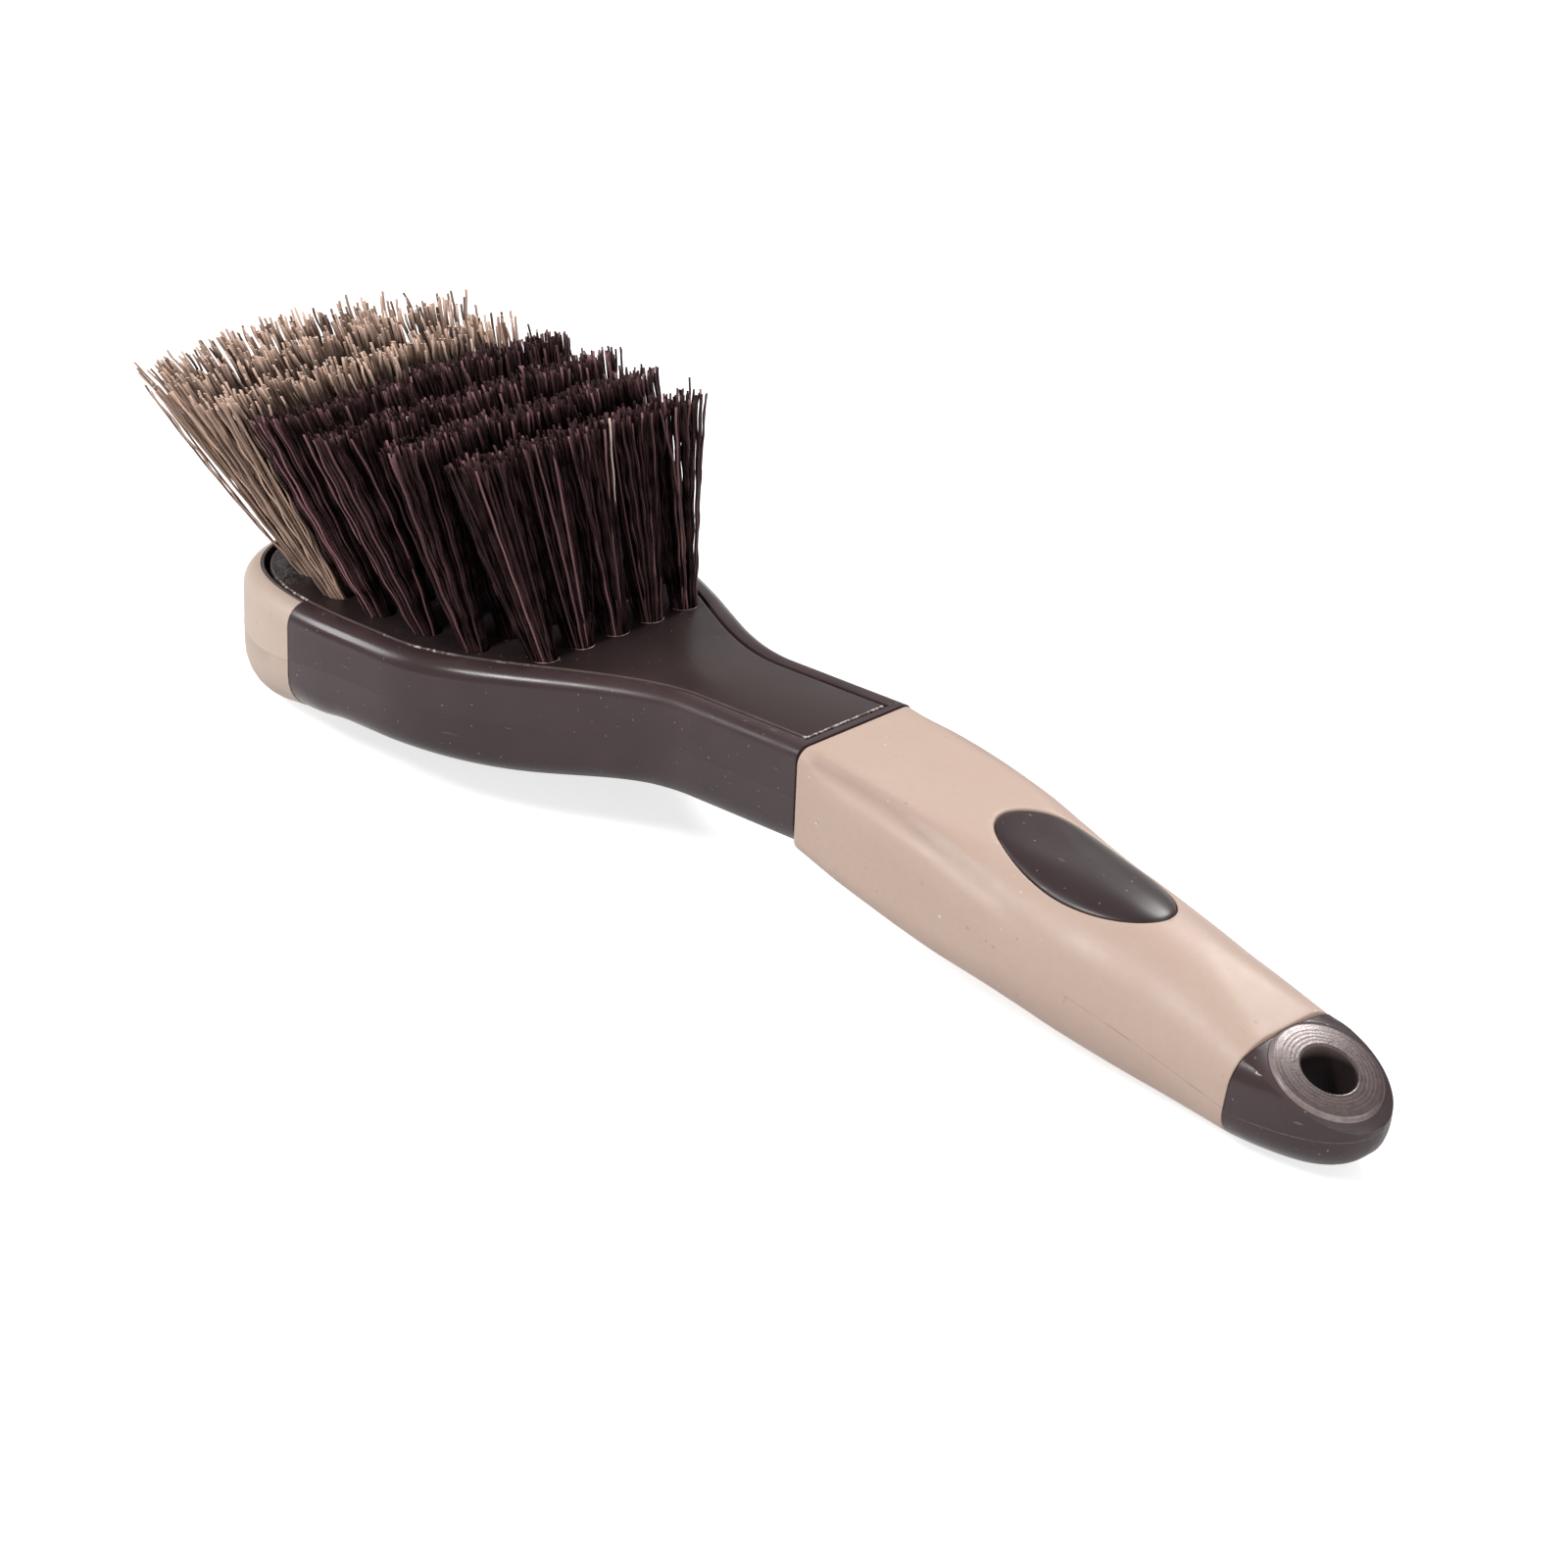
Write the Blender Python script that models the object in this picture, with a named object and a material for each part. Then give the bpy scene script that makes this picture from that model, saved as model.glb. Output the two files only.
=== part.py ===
"""Bucket brush: a moulded two-tone hand brush with crimped tufts, lying on its back, bristles up."""
import math

import bmesh
import bpy
from mathutils import Matrix, Vector

# Overall sizes. X runs from the nose to the tail, Z up, and the brush lies on Z = 0.
frame_shift = 0.00807
clearance = 0.0003

# Tuft plate, seen from above
plate_nose = 0.050
plate_straight = 0.006
plate_shoulder = 0.061
plate_neck = 0.0271
plate_half_width = 0.0313
plate_neck_half_width = 0.0101
plate_nose_power = 3.0
plate_thickness = 0.0062
plate_edge_round = 0.0004
groove_width = 0.0006
plate_front = -0.130
plate_front_height = 0.02512
plate_rise_share = 0.0785
plate_rear = plate_front + plate_nose + plate_straight + plate_shoulder + plate_neck

# Head shell
rim_width = 0.0045
rim_round = 0.0041
neck_sharper_share = 0.42
back_round = 0.0050
head_depth = 0.0203
chin_level = 0.014
chin_run = 0.028
chin_end = plate_front + chin_level
chin_start = chin_end + chin_run
belly_place = 0.083
belly_centre = plate_front + belly_place
belly_reach = 0.026
belly_drop = 0.0014
neck_land = 0.0019
neck_end = plate_rear + neck_land

# Nose bumper
bumper_length = 0.029
bumper_end = plate_front + bumper_length
bumper_wall = 0.0022
bumper_floor = 0.0024
bumper_lip = 0.0016

# Grip sleeve and the core inside it
grip_length = 0.1013
grip_half_width = 0.01735
grip_top = 0.0366
sleeve_wall = 0.0024
end_lean_share = 0.125
core_shares = (-0.05, 1.06)

# Thumb pad, the oval of the core that shows through the sleeve
pad_place_share = 0.555
pad_centre = neck_end + grip_length * pad_place_share
pad_half_length = 0.0193
pad_half_width = 0.0096
pad_dome = 0.0004
pad_low_share = 0.55
pad_high_share = 1.4

# Tail with its round spot face and hang hole
tail_length = 0.0215
spot_place_share = 0.493
spot_centre = neck_end + grip_length + tail_length * spot_place_share
spot_height_share = 0.448
spot_height = grip_top * spot_height_share
spot_radius = 0.0101
spot_lean = math.radians(24.5)
spot_relief = 0.0005
hole_radius = 0.00535

# Tufts: how many in each row, from the handle to the nose, and the row's half spread
tuft_hole_radius = 0.0026
hole_floor = 0.0016
tuft_hole_depth = plate_thickness - hole_floor
tuft_sides = 12
row_tufts = (5, 6, 6, 6, 6, 5, 4)
row_margin = 0.0075
row_spread = plate_half_width - row_margin
row_spread_shares = (0.74, 0.98, 1.01, 1.01, 1.0, 0.84, 0.55)
row_step_shares = (0.0, 1.0, 2.0, 3.05, 4.05, 5.0, 5.82)
row_bow_share = 0.16
bowed_from = 5
first_row_place = 0.027
nose_margin = 0.00705
first_row = plate_front + plate_nose + plate_straight + first_row_place
row_pitch = (first_row - plate_front - nose_margin) / (row_step_shares[-1] + row_bow_share)
dark_rows = 4

# Strands: length at the first row, the trim's fall to the nose, and how the tufts splay
strand_height = 0.0408
trim_fall_share = 0.07
trim_waver = 0.0008
strand_tip_share = 0.62
sweep = -0.0072
flare_lengthwise_share = 0.24
flare_crosswise_shares = (0.29, 0.12, 0.25, 0.31, 0.30, 0.49, 0.58)
row_trim_shares = (0.965, 0.985, 1.0, 1.0, 1.0, 1.0, 1.0)
spread_share = 2.35
spread_across_share = 0.98


def clear_scene():
    for item in list(bpy.data.objects):
        bpy.data.objects.remove(item, do_unlink=True)


def make_collection(name, hidden=False):
    group = bpy.data.collections.new(name)
    bpy.context.scene.collection.children.link(group)
    group.hide_render = hidden
    return group


def make_material(name, colour, roughness, metallic=0.0):
    material = bpy.data.materials.new(name)
    material.use_nodes = True
    shader = material.node_tree.nodes["Principled BSDF"]
    shader.inputs["Base Color"].default_value = (*colour, 1.0)
    shader.inputs["Roughness"].default_value = roughness
    shader.inputs["Metallic"].default_value = metallic
    return material


def add_object(name, mesh, group, material=None):
    item = bpy.data.objects.new(name, mesh)
    group.objects.link(item)
    if material:
        mesh.materials.append(material)
    return item


def loft(name, rings, striped=False):
    """A closed mesh through rings of equal point count; a striped start cap runs straight across."""
    shape = bmesh.new()
    loops = [[shape.verts.new(point) for point in ring] for ring in rings]
    count = len(loops[0])
    for lower, upper in zip(loops, loops[1:]):
        for i in range(count):
            j = (i + 1) % count
            shape.faces.new((lower[i], lower[j], upper[j], upper[i]))
    if striped:
        for i in range(count // 2):
            across = (loops[0][i], loops[0][i + 1], loops[0][count - 2 - i], loops[0][count - 1 - i])
            shape.faces.new(sorted(set(across), key=across.index))
    else:
        shape.faces.new(list(reversed(loops[0])))
    shape.faces.new(loops[-1])
    bmesh.ops.recalc_face_normals(shape, faces=shape.faces)
    mesh = bpy.data.meshes.new(name)
    shape.to_mesh(mesh)
    shape.free()
    return mesh


def apply_boolean(item, cutter, operation):
    change = item.modifiers.new(operation.lower(), "BOOLEAN")
    change.operation = operation
    change.solver = "EXACT"
    change.object = cutter
    bpy.context.view_layer.update()
    graph = bpy.context.evaluated_depsgraph_get()
    result = bpy.data.meshes.new_from_object(item.evaluated_get(graph))
    item.modifiers.clear()
    item.data = result


def smooth(item, degrees=32.0):
    item.data.shade_smooth()
    item.data.set_sharp_from_angle(angle=math.radians(degrees))


def ease(share):
    share = min(max(share, 0.0), 1.0)
    return share * share * (3.0 - 2.0 * share)


def between(table, share, column):
    """Smooth value from a table of shares, by monotone cubic steps."""
    rows = [row[0] for row in table]
    values = [row[column] for row in table]
    k = max(i for i in range(len(rows) - 1) if share >= rows[i] or i == 0)
    gap = rows[k + 1] - rows[k]
    slopes = []
    for i in (k, k + 1):
        if i == 0 or i == len(rows) - 1:
            a = i if i == 0 else i - 1
            slopes.append((values[a + 1] - values[a]) / (rows[a + 1] - rows[a]))
            continue
        left = (values[i] - values[i - 1]) / (rows[i] - rows[i - 1])
        right = (values[i + 1] - values[i]) / (rows[i + 1] - rows[i])
        slopes.append(0.0 if left * right <= 0 else 2.0 * left * right / (left + right))
    t = min(max((share - rows[k]) / gap, 0.0), 1.0)
    start = (1 + 2 * t) * (1 - t) ** 2 * values[k] + t * (1 - t) ** 2 * gap * slopes[0]
    return start + t * t * (3 - 2 * t) * values[k + 1] + t * t * (t - 1) * gap * slopes[1]


# Plan of the plate: a blunt oval nose, a short straight, S-shaped shoulders and a straight neck
def plate_height(x):
    return plate_front_height + plate_rise_share * (x - plate_front)


def plate_side():
    """Points and outward normals along one side, from the middle of the nose to the rear corner."""
    points = []
    nose_steps = 16
    for i in range(nose_steps + 1):
        turn = math.pi / 2 * i / nose_steps
        along = math.cos(turn) ** (2.0 / plate_nose_power)
        across = math.sin(turn) ** (2.0 / plate_nose_power)
        points.append((plate_front + plate_nose * (1.0 - along), plate_half_width * across))
    start = plate_front + plate_nose + plate_straight
    shoulder_steps = 14
    for i in range(shoulder_steps + 1):
        share = i / shoulder_steps
        narrow = (plate_half_width - plate_neck_half_width) * ease(share)
        points.append((start + plate_shoulder * share, plate_half_width - narrow))
    points.append((start + plate_shoulder + plate_neck, plate_neck_half_width))
    normals = []
    for i in range(len(points)):
        before = points[max(i - 1, 0)]
        after = points[min(i + 1, len(points) - 1)]
        if i == 0:
            before = (after[0], -after[1])
        run = Vector((after[0] - before[0], after[1] - before[1])).normalized()
        normals.append((-run.y, run.x))
    normals[-1] = (0.0, 1.0)
    return points, normals


def neckness(x):
    """How far along the shoulders a station is, from the head to the neck."""
    return ease((x - plate_front - plate_nose - plate_straight) / plate_shoulder)


def outline(offset, rear, neck_offset=0.0):
    """Closed plan outline at a distance outside the plate's edge, ending square at the rear."""
    points, normals = plate_side()
    side = []
    for point, normal in zip(points, normals):
        reach = offset + neck_offset * neckness(point[0])
        side.append((point[0] + reach * normal[0], point[1] + reach * normal[1]))
    side[0] = (side[0][0], 0.0)
    side[-1] = (rear, side[-1][1])
    far = list(reversed(side))
    return far + [(x, -y) for x, y in side[1:]]


def back_height(x):
    """Height of the flat back: level under the chin, then parallel to the plate."""
    level = ease((chin_start - x) / (chin_start - chin_end))
    belly = belly_drop * ease(1.0 - abs(x - belly_centre) / belly_reach)
    return (plate_height(x) - head_depth - belly) * (1.0 - level)


def head_solid(name, inset, floor, roof, rear, top_round, low_round):
    """Ring stack: rounded back edge, plain wall, rounded rim."""
    steps = 4
    rings = []
    for i in range(steps + 1):
        turn = math.pi / 2 * i / steps
        loop = outline(rim_width - inset - low_round * (1.0 - math.sin(turn)), rear)
        lift = floor + low_round * (1.0 - math.cos(turn))
        rings.append([(x, y, back_height(x) + lift) for x, y in loop])
    for i in range(steps + 1):
        turn = math.pi / 2 * i / steps
        pull = top_round * (1.0 - math.cos(turn))
        drop = top_round * (1.0 - math.sin(turn))
        loop = outline(rim_width - inset - pull, rear, pull * neck_sharper_share)
        rings.append([(x, y, plate_height(x) + roof - drop * (1.0 - neck_sharper_share * neckness(x)))
                      for x, y in loop])
    return loft(name, rings, striped=True)


def box_mesh(name, low, high):
    shape = bmesh.new()
    bmesh.ops.create_cube(shape, size=1.0)
    middle = [(a + b) / 2 for a, b in zip(low, high)]
    size = [b - a for a, b in zip(low, high)]
    stretch = Matrix.Translation(middle) @ Matrix.Diagonal((*size, 1.0))
    bmesh.ops.transform(shape, matrix=stretch, verts=shape.verts)
    mesh = bpy.data.meshes.new(name)
    shape.to_mesh(mesh)
    shape.free()
    return mesh


# Grip sections: along, half width, top, back, top corner and back corner, as shares
grip_shares = (
    (0.00, 0.842, 0.985, 0.432, 0.28, 0.28),
    (0.06, 0.905, 0.975, 0.405, 0.38, 0.38),
    (0.12, 0.962, 0.965, 0.376, 0.47, 0.47),
    (0.19, 0.991, 0.950, 0.340, 0.54, 0.54),
    (0.26, 1.000, 0.935, 0.296, 0.61, 0.61),
    (0.34, 1.000, 0.913, 0.246, 0.68, 0.68),
    (0.42, 0.997, 0.891, 0.188, 0.80, 0.80),
    (0.50, 0.986, 0.869, 0.126, 0.93, 0.93),
    (0.58, 0.963, 0.845, 0.078, 1.00, 1.00),
    (0.66, 0.916, 0.817, 0.044, 1.00, 1.00),
    (0.74, 0.866, 0.781, 0.019, 1.00, 1.00),
    (0.82, 0.826, 0.735, 0.005, 1.00, 1.00),
    (0.90, 0.800, 0.668, 0.000, 0.90, 0.98),
    (1.00, 0.776, 0.562, 0.018, 0.75, 0.86),
)

oval_share = 0.96


def grip_section(share, inset, count):
    """Rounded oblong across the grip; its corners grow until it is an oval."""
    half = grip_half_width * between(grip_shares, share, 1) - inset
    top = grip_top * between(grip_shares, share, 2) - inset
    back = grip_top * between(grip_shares, share, 3) + inset
    tall = (top - back) / 2
    middle = (top + back) / 2
    station = neck_end + grip_length * share
    lean = end_lean_share * ease(share)
    ring = []
    for quarter in range(4):
        side = (1, 1), (-1, 1), (-1, -1), (1, -1)
        sy, sz = side[quarter]
        corner = between(grip_shares, share, 4 if sz > 0 else 5)
        radius_y = (tall * corner + (half - tall) * ease((corner - 0.6) / 0.4)) * oval_share
        radius_z = tall * corner * oval_share
        for i in range(count + 1):
            turn = math.pi / 2 * (i / count + quarter)
            y = sy * (half - radius_y) + radius_y * math.cos(turn)
            z = sz * (tall - radius_z) + radius_z * math.sin(turn)
            ring.append((station + lean * z, y, middle + z))
    return ring


def grip_loft(name, first, last, steps, inset, count):
    rings = []
    for i in range(steps + 1):
        rings.append(grip_section(first + (last - first) * i / steps, inset, count))
    return loft(name, rings)


# Tail sections: along, width and height, as shares of the sleeve's end section
tail_shares = (
    (0.00, 1.000, 1.000),
    (0.15, 0.975, 1.000),
    (0.30, 0.930, 0.995),
    (0.45, 0.875, 0.980),
    (0.60, 0.800, 0.945),
    (0.72, 0.715, 0.885),
    (0.83, 0.600, 0.790),
    (0.91, 0.470, 0.675),
    (0.97, 0.310, 0.530),
    (1.00, 0.140, 0.360),
)


def tail_solid(name, count):
    """Dome behind the sleeve: its end section drawn in to a blunt round end."""
    rings = []
    front = grip_section(1.0, 0.0, count)
    middle = sum(point[2] for point in front) / len(front)
    for share, wide, tall in tail_shares:
        ring = []
        for x, y, z in front:
            lean = (x - neck_end - grip_length) * (1.0 - share)
            station = neck_end + grip_length + clearance + tail_length * share + lean
            ring.append((station, y * wide, middle + (z - middle) * tall))
        rings.append(ring)
    return loft(name, rings)


def oval_post(name, half_long, half_wide, low, high):
    count = 40
    rings = []
    for level in (low, high):
        ring = []
        for i in range(count):
            turn = 2 * math.pi * i / count
            ring.append((pad_centre + half_long * math.cos(turn), half_wide * math.sin(turn), level))
        rings.append(ring)
    return loft(name, rings)


clear_scene()
brush = make_collection("bucket_brush")
cutters = make_collection("cutters", hidden=True)
root = bpy.data.objects.new("brush_frame", None)
root.location = (frame_shift, 0.0, 0.0)
brush.objects.link(root)

brown = make_material("brown_plastic", (0.035, 0.024, 0.022), 0.42)
plate_brown = make_material("plate_plastic", (0.030, 0.021, 0.020), 0.50)
beige = make_material("beige_rubber", (0.62, 0.50, 0.42), 0.62)
dark_strand = make_material("dark_bristle", (0.030, 0.012, 0.013), 0.38)
beige_strand = make_material("beige_bristle", (0.48, 0.34, 0.25), 0.45)


def cutter(name, mesh):
    item = add_object(name, mesh, cutters)
    item.hide_render = True
    item.display_type = "WIRE"
    return item


far_reach = grip_length + plate_nose + plate_shoulder

# Recess for the plate, cut down from above
recess_rings = []
for level in (-plate_thickness - clearance, rim_width):
    loop = outline(groove_width / 2, plate_rear + groove_width / 2)
    recess_rings.append([(x, y, plate_height(x) + level) for x, y in loop])
recess = cutter("recess_cutter", loft("recess_cutter", recess_rings))

# Handle body: head shell, core under bumper and sleeve, thumb pad and tail in one moulding
body_mesh = head_solid("handle_body", 0.0, 0.0, 0.0, neck_end, rim_round, back_round)
body = add_object("handle_body", body_mesh, brush, brown)
nose_box = cutter("nose_box", box_mesh("nose_box", (-far_reach, -far_reach, -far_reach),
                                       (bumper_end + clearance, far_reach, far_reach)))
apply_boolean(body, nose_box, "DIFFERENCE")
stub_wall = bumper_wall + clearance
stub_floor = bumper_floor + clearance
stub_roof = -bumper_lip - clearance
stub_rear = neck_end - rim_width
stub_mesh = head_solid("nose_stub", stub_wall, stub_floor, stub_roof, stub_rear, rim_round / 2, back_round)
stub = cutter("nose_stub", stub_mesh)
apply_boolean(body, stub, "UNION")
core = cutter("grip_core", grip_loft("grip_core", *core_shares, 20, sleeve_wall + clearance, 5))
apply_boolean(body, core, "UNION")
tail = cutter("tail_dome", tail_solid("tail_dome", 6))
axis = Vector((math.sin(spot_lean), 0.0, math.cos(spot_lean)))
tilt = Matrix.Translation((spot_centre, 0.0, spot_height)) @ Matrix.Rotation(spot_lean, 4, "Y")


def turned(name, profile, count):
    """A solid of revolution about the spot face's axis, as rings of (radius, height)."""
    rings = []
    for radius, height in profile:
        ring = []
        for i in range(count):
            turn = 2 * math.pi * i / count
            ring.append(tilt @ Vector((radius * math.cos(turn), radius * math.sin(turn), height)))
        rings.append(ring)
    return loft(name, rings)


# the dome's top is turned down to the round face, its shoulders sloping away all round
bell_shares = (
    (3.00, -2.10),
    (2.05, -0.80),
    (1.62, -0.25),
    (1.25, -0.09),
)
rim_shares = (
    (1.0, -0.7),
    (0.0, -0.2),
    (-1.0, 0.0),
)
bell_profile = [(spot_radius * wide, spot_radius * high) for wide, high in bell_shares]
bell_profile += [(spot_radius + spot_relief * wide, spot_relief * high) for wide, high in rim_shares]
bell = cutter("spot_bell", turned("spot_bell", bell_profile, 36))
apply_boolean(tail, bell, "INTERSECT")
apply_boolean(body, tail, "UNION")
post_low = grip_top * pad_low_share
post_high = grip_top * pad_high_share
post = cutter("pad_post", oval_post("pad_post", pad_half_length, pad_half_width, post_low, post_high))
skin_reach_share = pad_half_length * pad_high_share / grip_length
skin_ends = (pad_place_share - skin_reach_share, pad_place_share + skin_reach_share)
pad_skin = cutter("pad_skin", grip_loft("pad_skin", *skin_ends, 14, -pad_dome, 5))
apply_boolean(post, pad_skin, "INTERSECT")
apply_boolean(body, post, "UNION")
apply_boolean(body, recess, "DIFFERENCE")
hole_profile = (
    (hole_radius, -spot_height - tail_length),
    (hole_radius, -spot_relief),
    (hole_radius + spot_radius, spot_radius - spot_relief),
)
hole = cutter("hang_hole", turned("hang_hole", hole_profile, 28))
apply_boolean(body, hole, "DIFFERENCE")
smooth(body)

# Nose bumper: soft beige overmould round the nose's wall, rim and underside
bumper_mesh = head_solid("nose_bumper", 0.0, 0.0, 0.0, neck_end, rim_round, back_round)
bumper = add_object("nose_bumper", bumper_mesh, brush, beige)
rest_box = cutter("rest_box", box_mesh("rest_box", (bumper_end, -far_reach, -far_reach),
                                       (far_reach, far_reach, far_reach)))
apply_boolean(bumper, rest_box, "DIFFERENCE")
hollow_mesh = head_solid("bumper_hollow", bumper_wall, bumper_floor, -bumper_lip, neck_end, rim_round / 2,
                         back_round)
hollow = cutter("bumper_hollow", hollow_mesh)
apply_boolean(bumper, hollow, "DIFFERENCE")
apply_boolean(bumper, recess, "DIFFERENCE")
smooth(bumper)

# Grip sleeve: soft beige overmould round the core, open at both ends, with the pad's window
sleeve_gap = clearance / grip_length
sleeve = add_object("grip_sleeve", grip_loft("grip_sleeve", sleeve_gap, 1.0, 24, 0.0, 6), brush, beige)
bore = cutter("sleeve_bore", grip_loft("sleeve_bore", *core_shares, 20, sleeve_wall, 5))
apply_boolean(sleeve, bore, "DIFFERENCE")
window = cutter("pad_window", oval_post("pad_window", pad_half_length + clearance, pad_half_width + clearance,
                                        post_low, post_high))
apply_boolean(sleeve, window, "DIFFERENCE")
smooth(sleeve)

# Tuft plate: flat board with a slightly rounded edge and a blind round hole for each tuft
plate_rings = []
for inset, level in ((0.0, -plate_thickness), (0.0, -plate_edge_round), (plate_edge_round, 0.0)):
    loop = outline(-groove_width / 2 - inset, plate_rear - groove_width / 2 - inset)
    plate_rings.append([(x, y, plate_height(x) + level) for x, y in loop])
plate = add_object("tuft_plate", loft("tuft_plate", plate_rings), brush, plate_brown)

plate_lean = math.atan(plate_rise_share)


def tuft_places():
    """Row number, place in the row and plan position of each tuft."""
    places = []
    for row, count in enumerate(row_tufts):
        x = first_row - row_pitch * row_step_shares[row]
        spread = row_spread * row_spread_shares[row]
        for place in range(count):
            share = 2.0 * place / (count - 1) - 1.0
            bow = row_pitch * row_bow_share * (1.0 - share * share) if row >= bowed_from else 0.0
            places.append((row, place, x - bow, spread * share))
    return places


def square_to_plate(x, y):
    return Matrix.Translation((x, y, plate_height(x))) @ Matrix.Rotation(-plate_lean, 4, "Y")


hole_rings = bmesh.new()
for row, place, x, y in tuft_places():
    shape = bmesh.ops.create_cone(hole_rings, cap_ends=True, segments=tuft_sides, radius1=tuft_hole_radius,
                                  radius2=tuft_hole_radius, depth=tuft_hole_depth * 2)
    bmesh.ops.transform(hole_rings, matrix=square_to_plate(x, y), verts=shape["verts"])
hole_mesh = bpy.data.meshes.new("tuft_holes")
hole_rings.to_mesh(hole_mesh)
hole_rings.free()
holes = cutter("tuft_holes", hole_mesh)
apply_boolean(plate, holes, "DIFFERENCE")
smooth(plate)


# Tufts: a round root in its hole, then strands that fan out to the trim plane
def tip_of(row, x, y, away, across, number):
    """Plan position and height of a strand's tip above the plate."""
    tip_x = flare_lengthwise_share * (x - first_row) + sweep + away * (spread_share - 1.0)
    tip_y = flare_crosswise_shares[row] * y + across * (spread_share - 1.0) * spread_across_share
    waver = trim_waver * math.sin(12.9898 * number + 78.233 * x / row_pitch + 37.7 * y / row_pitch)
    fall = trim_fall_share * (x + away + tip_x - first_row)
    return Vector((tip_x, tip_y, strand_height * row_trim_shares[row] + fall + waver))


def tuft_mesh(name, row, x, y):
    shape = bmesh.new()
    radius = tuft_hole_radius - clearance
    low = -tuft_hole_depth + clearance
    inner = radius / 2
    centre = shape.verts.new((0.0, 0.0, 0.0))
    hexagon = []
    corners = tuft_sides // 2
    for i in range(corners):
        turn = 2 * math.pi / corners * i
        hexagon.append(shape.verts.new((inner * math.cos(turn), inner * math.sin(turn), 0.0)))
    rim = []
    foot = []
    for i in range(tuft_sides):
        turn = 2 * math.pi / tuft_sides * i
        rim.append(shape.verts.new((radius * math.cos(turn), radius * math.sin(turn), 0.0)))
        foot.append(shape.verts.new((radius * math.cos(turn), radius * math.sin(turn), low)))
    strands = []
    plain = []
    for i in range(corners):
        j = (i + 1) % corners
        (strands if i % 2 == 0 else plain).append(shape.faces.new((centre, hexagon[i], hexagon[j])))
        strands.append(shape.faces.new((hexagon[i], rim[2 * i], rim[2 * i + 1])))
        plain.append(shape.faces.new((hexagon[i], rim[2 * i + 1], hexagon[j])))
        if i % 2:
            strands.append(shape.faces.new((hexagon[j], rim[2 * i + 1], rim[(2 * i + 2) % tuft_sides])))
        else:
            plain.append(shape.faces.new((hexagon[j], rim[2 * i + 1], rim[(2 * i + 2) % tuft_sides])))
    for i in range(tuft_sides):
        j = (i + 1) % tuft_sides
        shape.faces.new((rim[i], foot[i], foot[j], rim[j]))
    shape.faces.new(foot)
    bmesh.ops.recalc_face_normals(shape, faces=shape.faces)
    for number, face in enumerate(strands):
        points = [vert.co.copy() for vert in face.verts]
        middle = sum(points, Vector()) / len(points)
        lift = tip_of(row, x, y, middle.x, middle.y, number)
        grown = bmesh.ops.extrude_discrete_faces(shape, faces=[face])["faces"][0]
        for vert in grown.verts:
            offset = vert.co - middle
            vert.co = middle + offset * strand_tip_share + lift
    bmesh.ops.recalc_face_normals(shape, faces=shape.faces)
    mesh = bpy.data.meshes.new(name)
    shape.to_mesh(mesh)
    shape.free()
    return mesh


for row, place, x, y in tuft_places():
    name = "tuft_%s%d" % ("abcdefg"[row], place + 1)
    colour = dark_strand if row < dark_rows else beige_strand
    tuft = add_object(name, tuft_mesh(name, row, x, y), brush, colour)
    tuft.matrix_world = square_to_plate(x, y)

for item in list(brush.objects):
    if item is not root:
        item.parent = root
bpy.context.view_layer.update()
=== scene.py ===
"""Bucket brush on its back: brown moulded handle, soft beige nose bumper and grip, two-colour tufts."""
import math
import random
from types import SimpleNamespace

import bmesh
import bpy
from mathutils import Matrix, Vector
from mathutils.kdtree import KDTree


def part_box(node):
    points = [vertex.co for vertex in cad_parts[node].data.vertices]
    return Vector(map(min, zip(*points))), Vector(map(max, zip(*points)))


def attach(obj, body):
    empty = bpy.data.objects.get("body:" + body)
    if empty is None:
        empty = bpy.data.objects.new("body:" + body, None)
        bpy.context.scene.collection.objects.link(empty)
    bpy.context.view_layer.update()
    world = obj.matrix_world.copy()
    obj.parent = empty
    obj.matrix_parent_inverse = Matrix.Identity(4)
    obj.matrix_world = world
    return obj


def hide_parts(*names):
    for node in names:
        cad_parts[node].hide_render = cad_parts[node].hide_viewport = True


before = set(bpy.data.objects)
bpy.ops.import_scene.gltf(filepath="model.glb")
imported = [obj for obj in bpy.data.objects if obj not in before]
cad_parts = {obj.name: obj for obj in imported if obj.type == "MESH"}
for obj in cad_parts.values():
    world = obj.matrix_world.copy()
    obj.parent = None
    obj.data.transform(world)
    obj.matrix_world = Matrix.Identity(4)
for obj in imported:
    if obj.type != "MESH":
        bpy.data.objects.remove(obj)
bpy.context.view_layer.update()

# Handle moulding
# Head shell, neck, hidden core, thumb pad and tail are one injection moulding in dark brown polypropylene.
# Its satin skin keeps the mould's fine grain, a faint parting line half way up the wall and some dust.
clearance = 0.0003
groove_width = 0.0006
groove_lip = 0.00012
seat_wall = 0.00055
seat_nose_gap = 0.0004
nose_gap_reach = 0.022
plate_nose = 0.050
plate_straight = 0.006
plate_shoulder = 0.061
plate_neck = 0.0271
plate_half_width = 0.0313
plate_neck_half_width = 0.0101
plate_nose_power = 3.0
plate_thickness = 0.0062
plate_front = -0.130
plate_front_height = 0.02512
plate_rise_share = 0.0785
plate_rear = plate_front + plate_nose + plate_straight + plate_shoulder + plate_neck
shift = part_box("tuft_plate")[0].x - plate_front - groove_width / 2

rim_width = 0.0045
rim_round = 0.0041
neck_sharper_share = 0.42
back_round = 0.0050
head_depth = 0.0203
chin_start = -0.084
chin_end = -0.121
chin_round_extra = 0.0045
chin_round_from = -0.089
chin_round_reach = 0.016
belly_centre = -0.047
belly_reach = 0.026
belly_drop = 0.0014
neck_end = 0.0160
seam_height_share = 0.52
seam_width = 0.00022
seam_proud = 0.00004
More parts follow.
